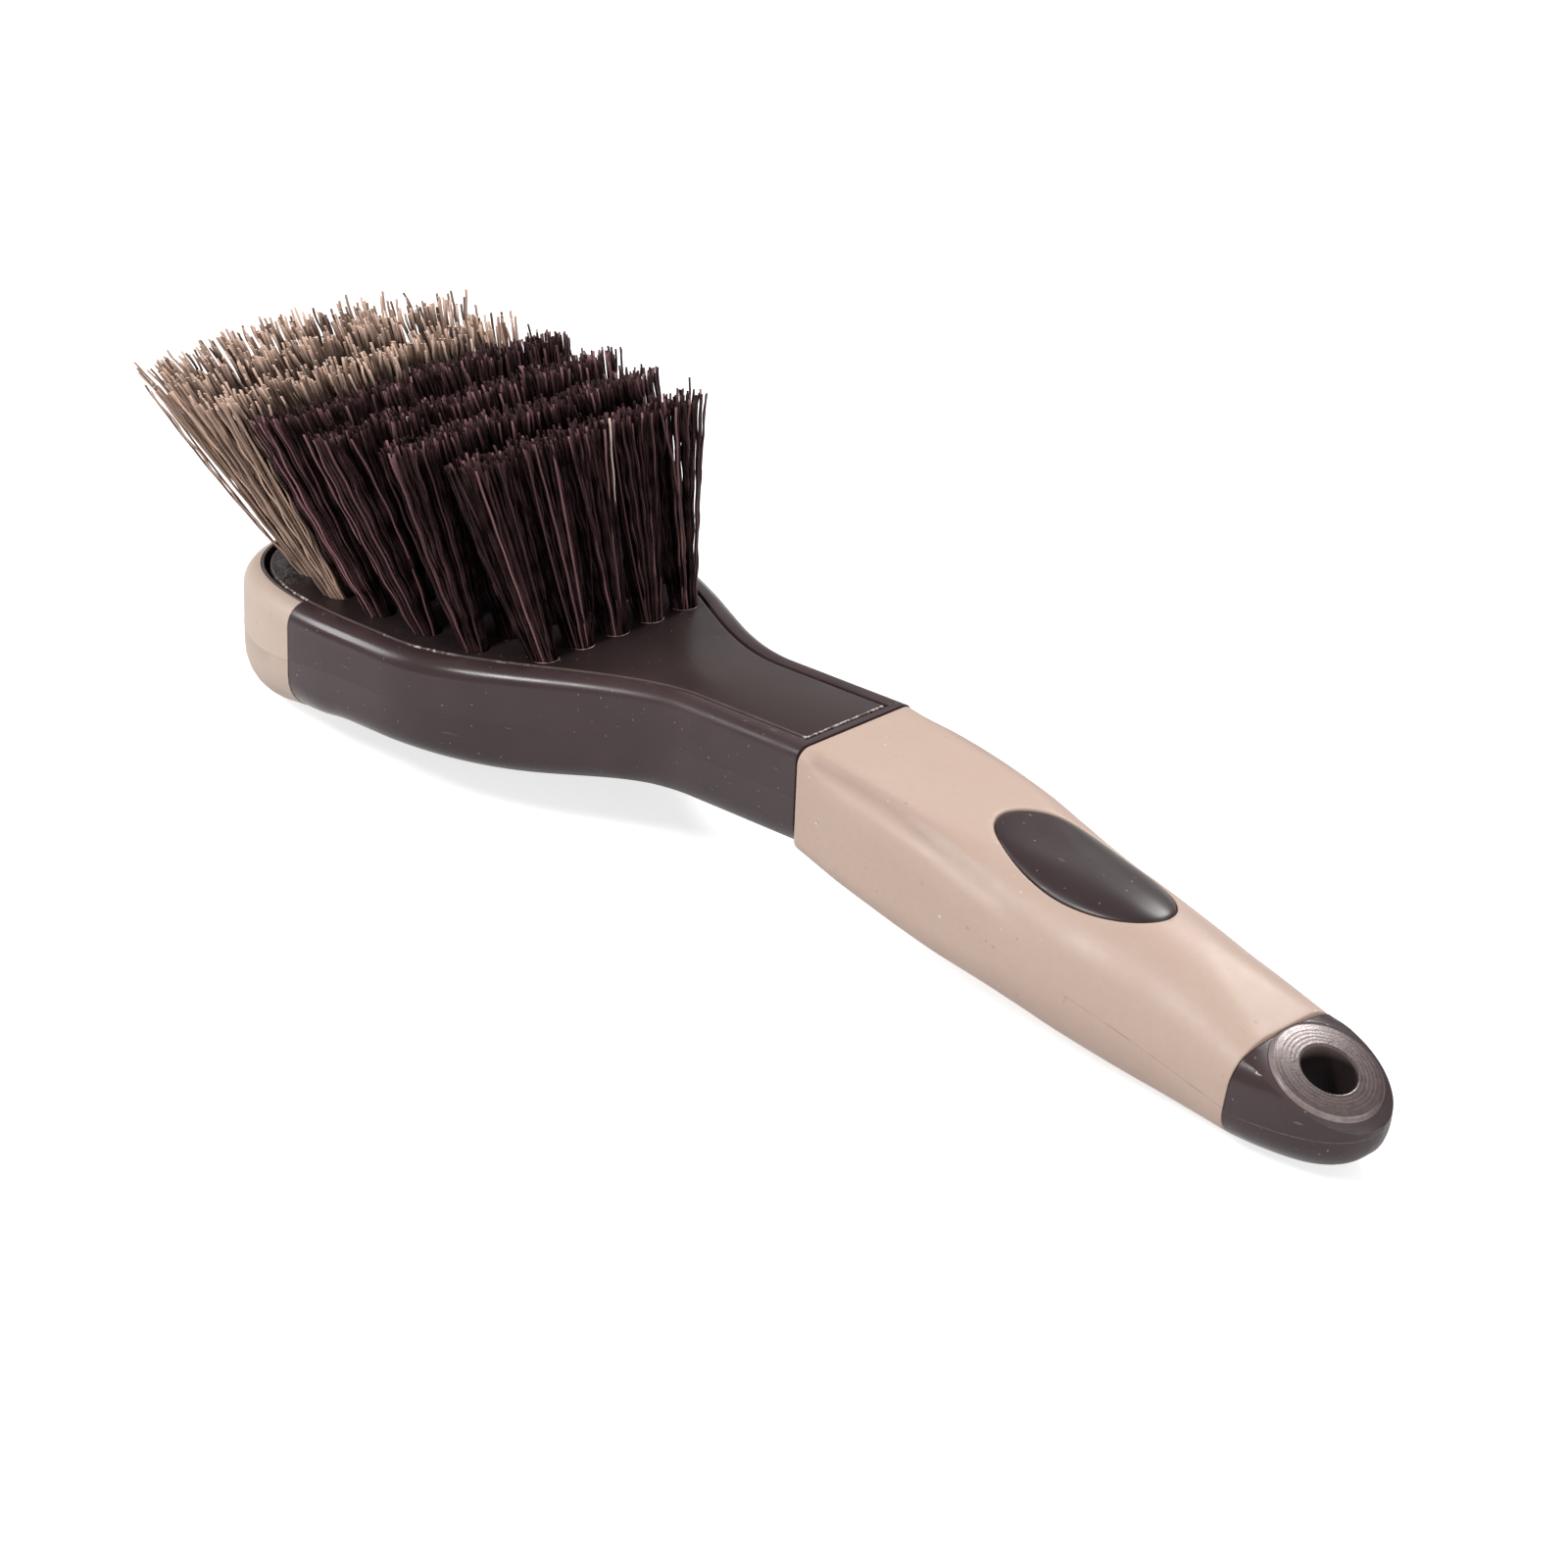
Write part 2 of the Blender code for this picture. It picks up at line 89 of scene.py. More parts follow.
# across the seam in seam widths, and how proud it stands there as a share
seam_profile = ((-1.0, 0.0), (-0.35, 1.0), (0.35, 1.0), (1.0, 0.0))

bumper_end = -0.1010
bumper_wall = 0.0022
bumper_floor = 0.0024
bumper_lip = 0.0016

grip_length = 0.1013
grip_half_width = 0.01735
grip_top = 0.0370
sleeve_wall = 0.0024
end_lean_share = 0.125
core_start_share = -0.05
core_end_share = 1.06
well_outside = grip_length

tail_length = 0.0215
spot_centre = 0.1279
spot_height = 0.0164
spot_radius = 0.0101
spot_lean = math.radians(24.5)
spot_relief = 0.0005
spot_crown = 0.00045
hole_radius = 0.0051


def mesh_object(name, mesh):
    item = bpy.data.objects.new(name, mesh)
    bpy.context.scene.collection.objects.link(item)
    return item


def loft(name, rings, striped=False):
    """A closed skin through rings of equal point count; a striped start runs straight across."""
    count = len(rings[0])
    points = [point for ring in rings for point in ring]
    faces = []
    for level in range(len(rings) - 1):
        low, high = level * count, (level + 1) * count
        for i in range(count):
            j = (i + 1) % count
            faces.append((low + i, low + j, high + j, high + i))
    if striped:
        for i in range(count // 2):
            across = (i, i + 1, count - 2 - i, count - 1 - i)
            faces.append(tuple(sorted(set(across), key=across.index)))
    else:
        faces.append(tuple(reversed(range(count))))
    faces.append(tuple(range((len(rings) - 1) * count, len(rings) * count)))
    mesh = bpy.data.meshes.new(name)
    mesh.from_pydata(points, [], faces)
    shape = bmesh.new()
    shape.from_mesh(mesh)
    bmesh.ops.recalc_face_normals(shape, faces=shape.faces)
    shape.to_mesh(mesh)
    shape.free()
    return mesh_object(name, mesh)


def carve(item, cutter, operation):
    """Joins, cuts or intersects with a cutter, which is then thrown away."""
    change = item.modifiers.new("carve", "BOOLEAN")
    change.operation = operation
    change.solver = "MANIFOLD"
    change.object = cutter
    graph = bpy.context.evaluated_depsgraph_get()
    result = bpy.data.meshes.new_from_object(item.evaluated_get(graph))
    item.modifiers.clear()
    item.data = result
    bpy.data.objects.remove(cutter, do_unlink=True)


def smooth(item, degrees=30.0):
    item.data.shade_smooth()
    item.data.set_sharp_from_angle(angle=math.radians(degrees))


def ease(share):
    share = min(max(share, 0.0), 1.0)
    return share * share * (3.0 - 2.0 * share)


def between(table, share, column):
    """Smooth value from a table of shares, by monotone cubic steps."""
    rows = [row[0] for row in table]
    values = [row[column] for row in table]
    k = max(i for i in range(len(rows) - 1) if share >= rows[i] or i == 0)
    gap = rows[k + 1] - rows[k]
    slopes = []
    for i in (k, k + 1):
        if i == 0 or i == len(rows) - 1:
            a = i if i == 0 else i - 1
            slopes.append((values[a + 1] - values[a]) / (rows[a + 1] - rows[a]))
            continue
        left = (values[i] - values[i - 1]) / (rows[i] - rows[i - 1])
        right = (values[i + 1] - values[i]) / (rows[i + 1] - rows[i])
        slopes.append(0.0 if left * right <= 0 else 2.0 * left * right / (left + right))
    t = min(max((share - rows[k]) / gap, 0.0), 1.0)
    start = (1 + 2 * t) * (1 - t) ** 2 * values[k] + t * (1 - t) ** 2 * gap * slopes[0]
    return start + t * t * (3 - 2 * t) * values[k + 1] + t * t * (t - 1) * gap * slopes[1]


def plate_height(x):
    return plate_front_height + plate_rise_share * (x - plate_front)


def neckness(x):
    """How far along the shoulders a station is, from the head to the neck."""
    return ease((x - plate_front - plate_nose - plate_straight) / plate_shoulder)


def plate_side():
    """Evenly spaced points and outward normals along one side, from the nose to the rear corner."""
    curve = []
    fine = 400
    for i in range(fine + 1):
        turn = math.pi / 2 * i / fine
        along = math.cos(turn) ** (2.0 / plate_nose_power)
        across = math.sin(turn) ** (2.0 / plate_nose_power)
        curve.append((plate_front + plate_nose * (1.0 - along), plate_half_width * across))
    start = plate_front + plate_nose + plate_straight
    for i in range(fine + 1):
        narrow = (plate_half_width - plate_neck_half_width) * ease(i / fine)
        curve.append((start + plate_shoulder * i / fine, plate_half_width - narrow))
    curve.append((plate_rear, plate_neck_half_width))
    runs = [0.0]
    for a, b in zip(curve, curve[1:]):
        runs.append(runs[-1] + math.dist(a, b))
    count = 110
    points = []
    k = 0
    for i in range(count + 1):
        target = runs[-1] * i / count
        while k < len(runs) - 2 and runs[k + 1] < target:
            k += 1
        t = (target - runs[k]) / max(runs[k + 1] - runs[k], 1e-12)
        points.append(tuple(a + (b - a) * t for a, b in zip(curve[k], curve[k + 1])))
    normals = []
    for i in range(len(points)):
        before = points[max(i - 1, 0)]
        after = points[min(i + 1, len(points) - 1)]
        if i == 0:
            before = (after[0], -after[1])
        run = Vector((after[0] - before[0], after[1] - before[1])).normalized()
        normals.append((-run.y, run.x))
    normals[-1] = (0.0, 1.0)
    return list(zip(points, normals))


side_line = plate_side()


def chin_share(x):
    """How far a station is under the chin, where the back's edge is rounder."""
    return ease((chin_round_from - x) / chin_round_reach)


def outline(offset, rear, neck_offset=0.0, nose_offset=0.0, chin_offset=0.0):
    """Closed plan outline at a distance outside the plate's edge, ending square at the rear."""
    side = []
    for (x, y), (out_x, out_y) in side_line:
        noseness = ease((plate_front + nose_gap_reach - x) / nose_gap_reach)
        reach = offset + neck_offset * neckness(x) + nose_offset * noseness + chin_offset * chin_share(x)
        side.append((x + reach * out_x, y + reach * out_y))
    side[0] = (side[0][0], 0.0)
    side[-1] = (rear, side[-1][1])
    return list(reversed(side)) + [(x, -y) for x, y in side[1:]]


def back_height(x):
    """Height of the flat back: level under the chin, then parallel to the plate."""
    level = ease((chin_start - x) / (chin_start - chin_end))
    belly = belly_drop * ease(1.0 - abs(x - belly_centre) / belly_reach)
    return (plate_height(x) - head_depth - belly) * (1.0 - level)


def head_skin(name, inset, floor, roof, top_round, low_round, seam=0.0, swell=0.0):
    """Ring stack: rounded back edge, plain wall with its parting line, rounded rim."""
    steps = 8
    edge = rim_width - inset + swell
    rings = []
    for i in range(steps + 1):
        turn = math.pi / 2 * i / steps
        away, lift = 1.0 - math.sin(turn), 1.0 - math.cos(turn)
        ring = []
        for x, y in outline(edge - low_round * away, neck_end, chin_offset=-chin_round_extra * away):
            round_here = low_round + chin_round_extra * chin_share(x)
            ring.append((x, y, back_height(x) + floor + round_here * lift))
        rings.append(ring)
    if seam:
        for away, proud in seam_profile:
            ring = []
            for x, y in outline(edge + seam * proud, neck_end):
                low, high = back_height(x), plate_height(x)
                ring.append((x, y, low + (high - low) * seam_height_share + seam_width * away))
            rings.append(ring)
    for i in range(steps + 1):
        turn = math.pi / 2 * i / steps
        pull = top_round * (1.0 - math.cos(turn))
        drop = top_round * (1.0 - math.sin(turn))
        ring = []
        for x, y in outline(edge - pull, neck_end, pull * neck_sharper_share):
            drop_here = drop * (1.0 - neck_sharper_share * neckness(x))
            ring.append((x, y, plate_height(x) + roof - drop_here))
        rings.append(ring)
    return loft(name, rings, striped=True)


def nose_stub(name):
    """The head drawn in by the bumper's wall: what fills the bumper."""
    return head_skin(name, bumper_wall, bumper_floor, -bumper_lip, rim_round / 2, back_round)


def plate_stack(name, profile, nose_offset, rear=None):
    """A stack of loops round the plate's edge, from (height over the plate, distance outside its edge)."""
    rings = []
    for level, out in profile:
        loop = outline(out, plate_rear + out if rear is None else rear, nose_offset=nose_offset)
        rings.append([(x, y, plate_height(x) + level) for x, y in loop])
    return loft(name, rings)


def recess_cutter(name, extra=0.0):
    """The plate's seat, with a small round along the groove's outer edge."""
    edge = groove_width / 2 + extra
    profile = ((-plate_thickness - clearance, 0.0), (-groove_lip, 0.0), (-groove_lip / 3, groove_lip / 3),
               (0.0, groove_lip), (rim_width, groove_lip))
    return plate_stack(name, [(level, edge + out) for level, out in profile], seat_nose_gap)


def box_cutter(name, start, end):
    """A box round the whole brush between two stations along it."""
    shape = bmesh.new()
    bmesh.ops.create_cube(shape, size=1.0)
    size = (end - start, well_outside * 2, well_outside * 2)
    place = Matrix.Translation(((start + end) / 2, 0.0, 0.0)) @ Matrix.Diagonal((*size, 1.0))
    bmesh.ops.transform(shape, matrix=place, verts=shape.verts)
    mesh = bpy.data.meshes.new(name)
    shape.to_mesh(mesh)
    shape.free()
    return mesh_object(name, mesh)


# along, half width, top, back, top corner and back corner of the grip, as shares
grip_shares = (
    (0.00, 0.842, 0.985, 0.432, 0.28, 0.28),
    (0.06, 0.905, 0.975, 0.405, 0.38, 0.38),
    (0.12, 0.962, 0.965, 0.376, 0.47, 0.47),
    (0.19, 0.991, 0.950, 0.340, 0.54, 0.54),
    (0.26, 1.000, 0.935, 0.296, 0.61, 0.61),
    (0.34, 1.000, 0.913, 0.246, 0.68, 0.68),
    (0.42, 0.997, 0.891, 0.188, 0.80, 0.80),
    (0.50, 0.986, 0.869, 0.126, 0.93, 0.93),
    (0.58, 0.963, 0.845, 0.078, 1.00, 1.00),
    (0.66, 0.916, 0.817, 0.044, 1.00, 1.00),
    (0.74, 0.866, 0.781, 0.019, 1.00, 1.00),
    (0.82, 0.826, 0.735, 0.005, 1.00, 1.00),
    (0.90, 0.800, 0.668, 0.000, 0.90, 0.98),
    (1.00, 0.776, 0.562, 0.018, 0.75, 0.86),
)
oval_share = 0.96


def grip_sizes(share, inset):
    """Half width, middle height, half height and the two corner sizes of one section."""
    half = grip_half_width * between(grip_shares, share, 1) - inset
    top = grip_top * between(grip_shares, share, 2) - inset
    back = grip_top * between(grip_shares, share, 3) + inset
    tall = (top - back) / 2
    corners = []
    for column in (4, 5):
        corner = between(grip_shares, share, column)
        wide = (tall * corner + (half - tall) * ease((corner - 0.6) / 0.4)) * oval_share
        corners.append((wide, tall * corner * oval_share))
    return half, (top + back) / 2, tall, corners


def grip_section(share, inset, count):
    """Rounded oblong across the grip; its corners grow until it is an oval."""
    half, middle, tall, corners = grip_sizes(share, inset)
    station = neck_end + grip_length * share
    lean = end_lean_share * ease(share)
    ring = []
    for quarter, (sy, sz) in enumerate(((1, 1), (-1, 1), (-1, -1), (1, -1))):
        wide, high = corners[0 if sz > 0 else 1]
        for i in range(count + 1):
            turn = math.pi / 2 * (i / count + quarter)
            y = sy * (half - wide) + wide * math.cos(turn)
            z = sz * (tall - high) + high * math.sin(turn)
            ring.append((station + lean * z, y, middle + z))
    return ring


def grip_core(name):
    """The handle's core under the sleeve's wall, a little longer than the sleeve at both ends."""
    steps, corner_steps = 30, 8
    rings = []
    for i in range(steps + 1):
        share = core_start_share + (core_end_share - core_start_share) * i / steps
        rings.append(grip_section(share, sleeve_wall, corner_steps))
    return loft(name, rings)


# along, width and height of the tail, as shares of the sleeve's end section
tail_shares = (
    (0.00, 1.000, 1.000),
    (0.15, 0.975, 1.000),
    (0.30, 0.930, 0.995),
    (0.45, 0.875, 0.980),
    (0.60, 0.800, 0.945),
    (0.72, 0.715, 0.885),
    (0.83, 0.600, 0.790),
    (0.91, 0.470, 0.675),
    (0.97, 0.310, 0.530),
    (1.00, 0.140, 0.360),
)


def tail_dome(name):
    """Dome behind the sleeve: its end section drawn in to a blunt round end."""
    steps, corner_steps = 40, 16
    front = grip_section(1.0, 0.0, corner_steps)
    middle = sum(point[2] for point in front) / len(front)
    rings = []
    for i in range(steps + 1):
        share = math.sin(math.pi / 2 * i / steps)
        wide = between(tail_shares, share, 1)
        tall = between(tail_shares, share, 2)
        start = neck_end + grip_length + clearance + tail_length * share
        ring = []
        for x, y, z in front:
            lean = (x - neck_end - grip_length) * (1.0 - share)
            ring.append((start + lean, y * wide, middle + (z - middle) * tall))
        rings.append(ring)
    return loft(name, rings)


spot_frame = Matrix.Translation((spot_centre, 0.0, spot_height)) @ Matrix.Rotation(spot_lean, 4, "Y")


def turned(name, profile, count):
    """A solid of revolution about the spot face's axis, from rings of (radius, height)."""
    rings = []
    for radius, height in profile:
        ring = []
        for i in range(count):
            turn = 2 * math.pi * i / count
            point = Vector((radius * math.cos(turn), radius * math.sin(turn), height))
            ring.append(tuple(spot_frame @ point))
        rings.append(ring)
    return loft(name, rings)


handle = head_skin("handle_moulding", 0.0, 0.0, 0.0, rim_round, back_round, seam=seam_proud)
carve(handle, box_cutter("nose_box", -well_outside * 2, bumper_end), "DIFFERENCE")
carve(handle, nose_stub("nose_stub"), "UNION")
carve(handle, grip_core("grip_core"), "UNION")

# the bell that trims the dome: its skirt in spot radii, its rolled rim in spot reliefs, its low crown
bell_shares = ((2.05, 0.80), (1.62, 0.25), (1.25, 0.09), (1.12, 0.065))
rim_shares = ((1.4, 1.12), (0.8, 1.04), (0.42, 0.84), (0.12, 0.54), (-0.1, 0.28), (-0.38, 0.09), (-0.9, 0.0))
crown_shares = (0.85, 0.7, 0.5, 0.25)
bell_profile = [(spot_radius * 3.0, -tail_length)]
bell_profile += [(spot_radius * out, -spot_radius * drop) for out, drop in bell_shares]
bell_profile += [(spot_radius + spot_relief * out, -spot_relief * drop) for out, drop in rim_shares]
bell_profile += [(spot_radius * share, spot_crown * (1.0 - share * share)) for share in crown_shares]
tail = tail_dome("tail_dome")
carve(tail, turned("spot_bell", bell_profile, 96), "INTERSECT")
carve(handle, tail, "UNION")

seat_edge = groove_width / 2 + seat_wall
seat_profile = ((-plate_thickness, seat_edge), (-groove_lip, seat_edge),
                (-groove_lip / 4, seat_edge - groove_lip))
carve(handle, plate_stack("seat_wall", seat_profile, seat_nose_gap, plate_rear + groove_width), "UNION")
carve(handle, recess_cutter("recess"), "DIFFERENCE")

hole_lip = spot_relief * 0.75
hole_lip_height = spot_crown * 0.7
hole_lip_steps = 5
hole_profile = [(hole_radius, -tail_length * 1.5)]
for i in range(hole_lip_steps + 1):
    turn = math.pi / 2 * i / hole_lip_steps
    out, drop = hole_lip * (1.0 - math.cos(turn)), hole_lip * (1.0 - math.sin(turn))
    hole_profile.append((hole_radius + out, hole_lip_height - drop))
hole_profile.append((hole_radius + hole_lip, tail_length))
carve(handle, turned("hang_hole", hole_profile, 64), "DIFFERENCE")
smooth(handle)


class Finish:
    """The nodes that feed one shader; a value is a number, a colour or the socket of another node."""

    def __init__(self, owner, shader="Principled BSDF"):
        owner.use_nodes = True
        self.owner = owner
        self.tree = owner.node_tree
        self.shader = self.tree.nodes[shader]
        self.place = self.node("ShaderNodeTexCoord", {})["Object"]

    def feed(self, node, inputs):
        for name, value in inputs.items():
            socket = node.inputs[name]
            if isinstance(value, bpy.types.NodeSocket):
                self.tree.links.new(value, socket)
            elif socket.type == "RGBA":
                socket.default_value = (*value, 1.0)
            else:
                socket.default_value = value

    def node(self, kind, inputs, **settings):
        """Adds a node and gives its outputs."""
        node = self.tree.nodes.new(kind)
        for name, value in settings.items():
            setattr(node, name, value)
        self.feed(node, inputs)
        return node.outputs

    def put(self, name, value):
        """Sets one of the shader's own sockets."""
        self.feed(self.shader, {name: value})

    def axis(self, letter):
        """One coordinate of each point, X, Y or Z."""
        return self.node("ShaderNodeSeparateXYZ", {"Vector": self.place})[letter]

    def noise(self, scale, detail=2.0, stretch=None, roughness=0.5):
        """Cloudy values from 0 to 1; a stretch squeezes them by axis."""
        place = self.place
        if stretch:
            place = self.node("ShaderNodeMapping", {"Vector": place, "Scale": stretch})["Vector"]
        inputs = {"Vector": place, "Scale": scale, "Detail": detail, "Roughness": roughness}
        return self.node("ShaderNodeTexNoise", inputs)["Fac"]

    def spread(self, value, low, high, to_low=0.0, to_high=1.0):
        """Stretches the range from low to high over another, and holds at its ends."""
        ends = {"From Min": low, "From Max": high, "To Min": to_low, "To Max": to_high}
        return self.node("ShaderNodeMapRange", {"Value": value, **ends})["Result"]

    def reckon(self, operation, *values):
        """One step of arithmetic."""
        return self.node("ShaderNodeMath", dict(enumerate(values)), operation=operation)[0]

    def times(self, *values):
        return self.reckon("MULTIPLY", *values)

    def blend(self, share, first, second):
        """The first colour going over to the second."""
        return self.node("ShaderNodeMix", {"Factor": share, 6: first, 7: second}, data_type="RGBA")[2]

    def bump(self, height, strength, depth, over=None):
        """Lays a relief on the shader, over another one if that is given."""
        relief = {"Strength": strength, "Distance": depth, "Height": height}
        if over:
            relief["Normal"] = over
        laid = self.node("ShaderNodeBump", relief)["Normal"]
        self.put("Normal", laid)
        return laid


def new_finish(name, colour, roughness):
    """A material's finish, plain to begin with."""
    mix = Finish(bpy.data.materials.new(name))
    mix.put("Base Color", colour)
    mix.put("Roughness", roughness)
    return mix


def shaded(colour, shares):
    """The colour, with red, green and blue each times its share."""
    return tuple(part * share for part, share in zip(colour, shares))


brown_colour = (0.057, 0.034, 0.0362)
brown_dust = (0.34, 0.29, 0.28)
brown_line = (0.21, 0.165, 0.16)
line_core = 0.00005
line_edge = 0.00013
line_fade = 0.012
# the stretch of the neck that has lost some gloss, as where it begins and where it ends
dull_begins = (-0.054, -0.036)
dull_ends = (0.010, 0.020)


def parting_line(mix, tone, line, colour):
    """A fine worn line across a flank from a start along x; the line is (start, height there, slope)."""
    start, height, slope = line
    along = mix.axis("X")
    level = mix.reckon("MULTIPLY_ADD", along, slope, height - slope * start)
    gap = mix.reckon("ABSOLUTE", mix.reckon("SUBTRACT", mix.axis("Z"), level))
    share = mix.spread(gap, line_core, line_edge, 0.6, 0.0)
    worn = mix.spread(mix.noise(260.0), 0.35, 0.6, 0.25, 1.0)
    share = mix.times(mix.times(share, worn), mix.spread(along, start, start + line_fade))
    return mix.blend(share, tone, colour)


def brown_satin(name, colour, rough, seam=None, neck_matt=0.0):
    """Satin plastic with dust and hairs; it may carry a parting line and be duller at the neck."""
    mix = new_finish(name, colour, rough[0])
    mix.put("Specular IOR Level", 0.40)
    cloud = mix.spread(mix.noise(55.0, 3.0), 0.35, 0.65)
    tone = mix.blend(cloud, tuple(c * 0.88 for c in colour), tuple(c * 1.12 for c in colour))
    specks = mix.spread(mix.noise(1600.0, 0.0), 0.83, 0.85, 0.0, 0.6)
    tone = mix.blend(specks, tone, brown_dust)
    hair = mix.spread(mix.noise(150.0, 0.0, (1.0, 6.0, 9.0)), 0.81, 0.83)
    hairy = mix.spread(mix.noise(70.0), 0.45, 0.60, 0.0, 0.35)
    tone = mix.blend(mix.times(hair, hairy), tone, brown_dust)
    if seam:
        tone = parting_line(mix, tone, seam, brown_line)
    mix.put("Base Color", tone)
    along = mix.axis("X")
    at_neck = mix.times(mix.spread(along, *dull_begins), mix.spread(along, *dull_ends, 1.0, 0.0))
    gloss = mix.spread(mix.noise(62.0, 3.0), 0.35, 0.65, *rough)
    mix.put("Roughness", mix.reckon("MULTIPLY_ADD", at_neck, neck_matt, gloss))
    grain = mix.bump(mix.noise(2600.0, 2.0), strength=0.10, depth=0.00005)
    mix.bump(mix.noise(140.0, 1.0), strength=0.12, depth=0.0002, over=grain)
    return mix.owner


def mottled_finish(name, dark, light, scale, roughness, strength, depth, fade=None):
    """Plastic mottled dark to light: left rough by the tool at the seat, painted shade in the bore, a painted
    highlight on the spot's rim; a fade is (axis, from, to, last colour).
    """
    mix = new_finish(name, dark, roughness)
    tone = mix.blend(mix.noise(scale, 3.0), dark, light)
    if fade:
        letter, start, end, last_colour = fade
        tone = mix.blend(mix.spread(mix.axis(letter), start, end), tone, last_colour)
    mix.put("Base Color", tone)
    mix.bump(mix.noise(2000.0, 2.0), strength, depth)
    return mix.owner


tail_line = (0.112, 0.0087, 0.02)
handle_brown = brown_satin("brown_satin", brown_colour, (0.17, 0.32), tail_line, neck_matt=0.13)

turned_face = new_finish("turned_face", brown_colour, 0.34)
to_face = {"Vector": turned_face.place, "Location": (spot_centre, 0.0, spot_height),
           "Rotation": (0.0, spot_lean, 0.0)}
on_face = turned_face.node("ShaderNodeMapping", to_face, vector_type="TEXTURE")["Vector"]
rings = {"Vector": on_face, "Scale": 420.0, "Distortion": 1.5, "Detail": 2.0}
marks = turned_face.node("ShaderNodeTexWave", rings, wave_type="RINGS", rings_direction="Z")["Fac"]
tone = turned_face.blend(turned_face.noise(900.0, 3.0), (0.046, 0.031, 0.031), (0.092, 0.065, 0.063))
turned_face.put("Base Color", tone)
turned_face.put("Specular IOR Level", 0.7)
turned_face.put("Specular Tint", (1.0, 0.84, 0.82))
turned_face.put("Roughness", turned_face.spread(turned_face.noise(700.0, 2.0), 0.3, 0.7, 0.25, 0.33))
ring_marks = turned_face.bump(marks, strength=0.22, depth=0.00004)
turned_face.bump(turned_face.noise(2200.0, 2.0), strength=0.25, depth=0.00006, over=ring_marks)

# the bore's dark colour is a painted shade, and its paler colour near the top a painted light on the lit wall
bore_painted_light_near_top = ("Z", spot_height - 0.0010, spot_height + 0.0020, (0.24, 0.18, 0.165))
# the spot's rolled rim is coloured pale on the near side and brown on the far side: a painted highlight
highlight_fades_far_side = ("Y", -0.0020, 0.0045, brown_colour)
bore_painted_shade = mottled_finish("bore_painted_shade", (0.012, 0.007, 0.007), (0.034, 0.021, 0.021), scale=600.0,
                         roughness=0.5, strength=0.3, depth=0.00008, fade=bore_painted_light_near_top)
seat_brown = mottled_finish("seat_rim", (0.05, 0.035, 0.033), (0.19, 0.15, 0.14), scale=800.0, roughness=0.45,
                         strength=0.4, depth=0.0001)
rim_painted_highlight = mottled_finish("spot_rim_painted_highlight", (0.16, 0.12, 0.115), (0.36, 0.29, 0.28), scale=900.0, roughness=0.36,
                         strength=0.2, depth=0.00006, fade=highlight_fades_far_side)

handle.data.materials.clear()
for brown in (handle_brown, turned_face.owner, bore_painted_shade, seat_brown, rim_painted_highlight):
    handle.data.materials.append(brown)
in_satin, in_turned, in_bore, in_seat, in_ring = range(5)
bore_end = hole_radius + hole_lip * 0.3
turned_start = hole_radius + hole_lip * 0.6
ring_start = spot_radius - spot_relief * 0.9
ring_end = spot_radius + spot_relief * 0.9
ring_depth = spot_relief * 1.3
to_spot = spot_frame.inverted()
for face in handle.data.polygons:
    spot = to_spot @ face.center
    across = math.hypot(spot.x, spot.y)
    depth = plate_height(face.center.x) - face.center.z
    if abs(spot.z) < spot_relief and turned_start < across < ring_start:
        face.material_index = in_turned
    elif across < bore_end:
        face.material_index = in_bore
    elif ring_start < across < ring_end and abs(spot.z) < ring_depth:
        face.material_index = in_ring
    elif face.center.x < bumper_end and face.normal.z > 0.5 and abs(depth) < groove_lip:
        face.material_index = in_seat
    else:
        face.material_index = in_satin

# the turned face is flat up to a crisp border
borders = {}
for face in handle.data.polygons:
    for key in face.edge_keys:
        borders.setdefault(key, set()).add(face.material_index == in_turned)
for edge in handle.data.edges:
    if len(borders[edge.key]) == 2:
        edge.use_edge_sharp = True
for face in handle.data.polygons:
    face.use_smooth = face.use_smooth and face.material_index != in_turned
handle.location.x = shift
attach(handle, "root")
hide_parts("handle_body")

# Thumb pad
# The oval of the handle's core that stands in the sleeve's window, the same brown plastic, softly domed.
# It is moulded first and the sleeve is moulded round it, so that its edge sits just under the sleeve's.
pad_centre = 0.0716
pad_across = 0.0006
pad_half_length = 0.0193
pad_half_width = 0.0100
pad_points = 96
pad_brown = (0.040, 0.024, 0.0255)
# share of the way out from the middle, and depth under the grip's skin
pad_profile = ((1.0, 0.0042), (1.0, 0.00055), (0.992, 0.00030), (0.975, 0.00014), (0.95, 0.00002),
               (0.90, -0.00012), (0.82, -0.00024), (0.70, -0.00034), (0.55, -0.00040), (0.40, -0.00042),
               (0.25, -0.00043), (0.1, -0.00043))


def grip_skin_height(x, y):
    """Height of the grip's top surface over a plan point."""
    z = grip_top
    for _ in range(6):
        share = (x - neck_end) / grip_length
        for _ in range(4):
            half, middle, tall, corners = grip_sizes(share, 0.0)
            share = (x - end_lean_share * ease(share) * (z - middle) - neck_end) / grip_length
        half, middle, tall, corners = grip_sizes(share, 0.0)
        wide, high = corners[0]
        over = min(max(abs(y) - (half - wide), 0.0) / wide, 1.0)
        z = middle + tall - high + high * math.sqrt(1.0 - over * over)
    return z


def oval_loop(share, margin, lift):
    """A loop on the grip's skin, at a share of the pad's oval and a margin outside it."""
    loop = []
    for i in range(pad_points):
        turn = 2 * math.pi * i / pad_points
        x = pad_centre + (pad_half_length * share + margin) * math.cos(turn)
        y = pad_across + (pad_half_width * share + margin) * math.sin(turn)
        loop.append((x, y, grip_skin_height(x, y) + lift))
    return loop


pad = loft("thumb_pad", [oval_loop(share, 0.0, -sink) for share, sink in pad_profile])
smooth(pad, 40.0)
pad.data.materials.append(brown_satin("pad_satin", pad_brown, (0.30, 0.40)))
pad.location.x = shift
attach(pad, "root")
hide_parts("handle_body")

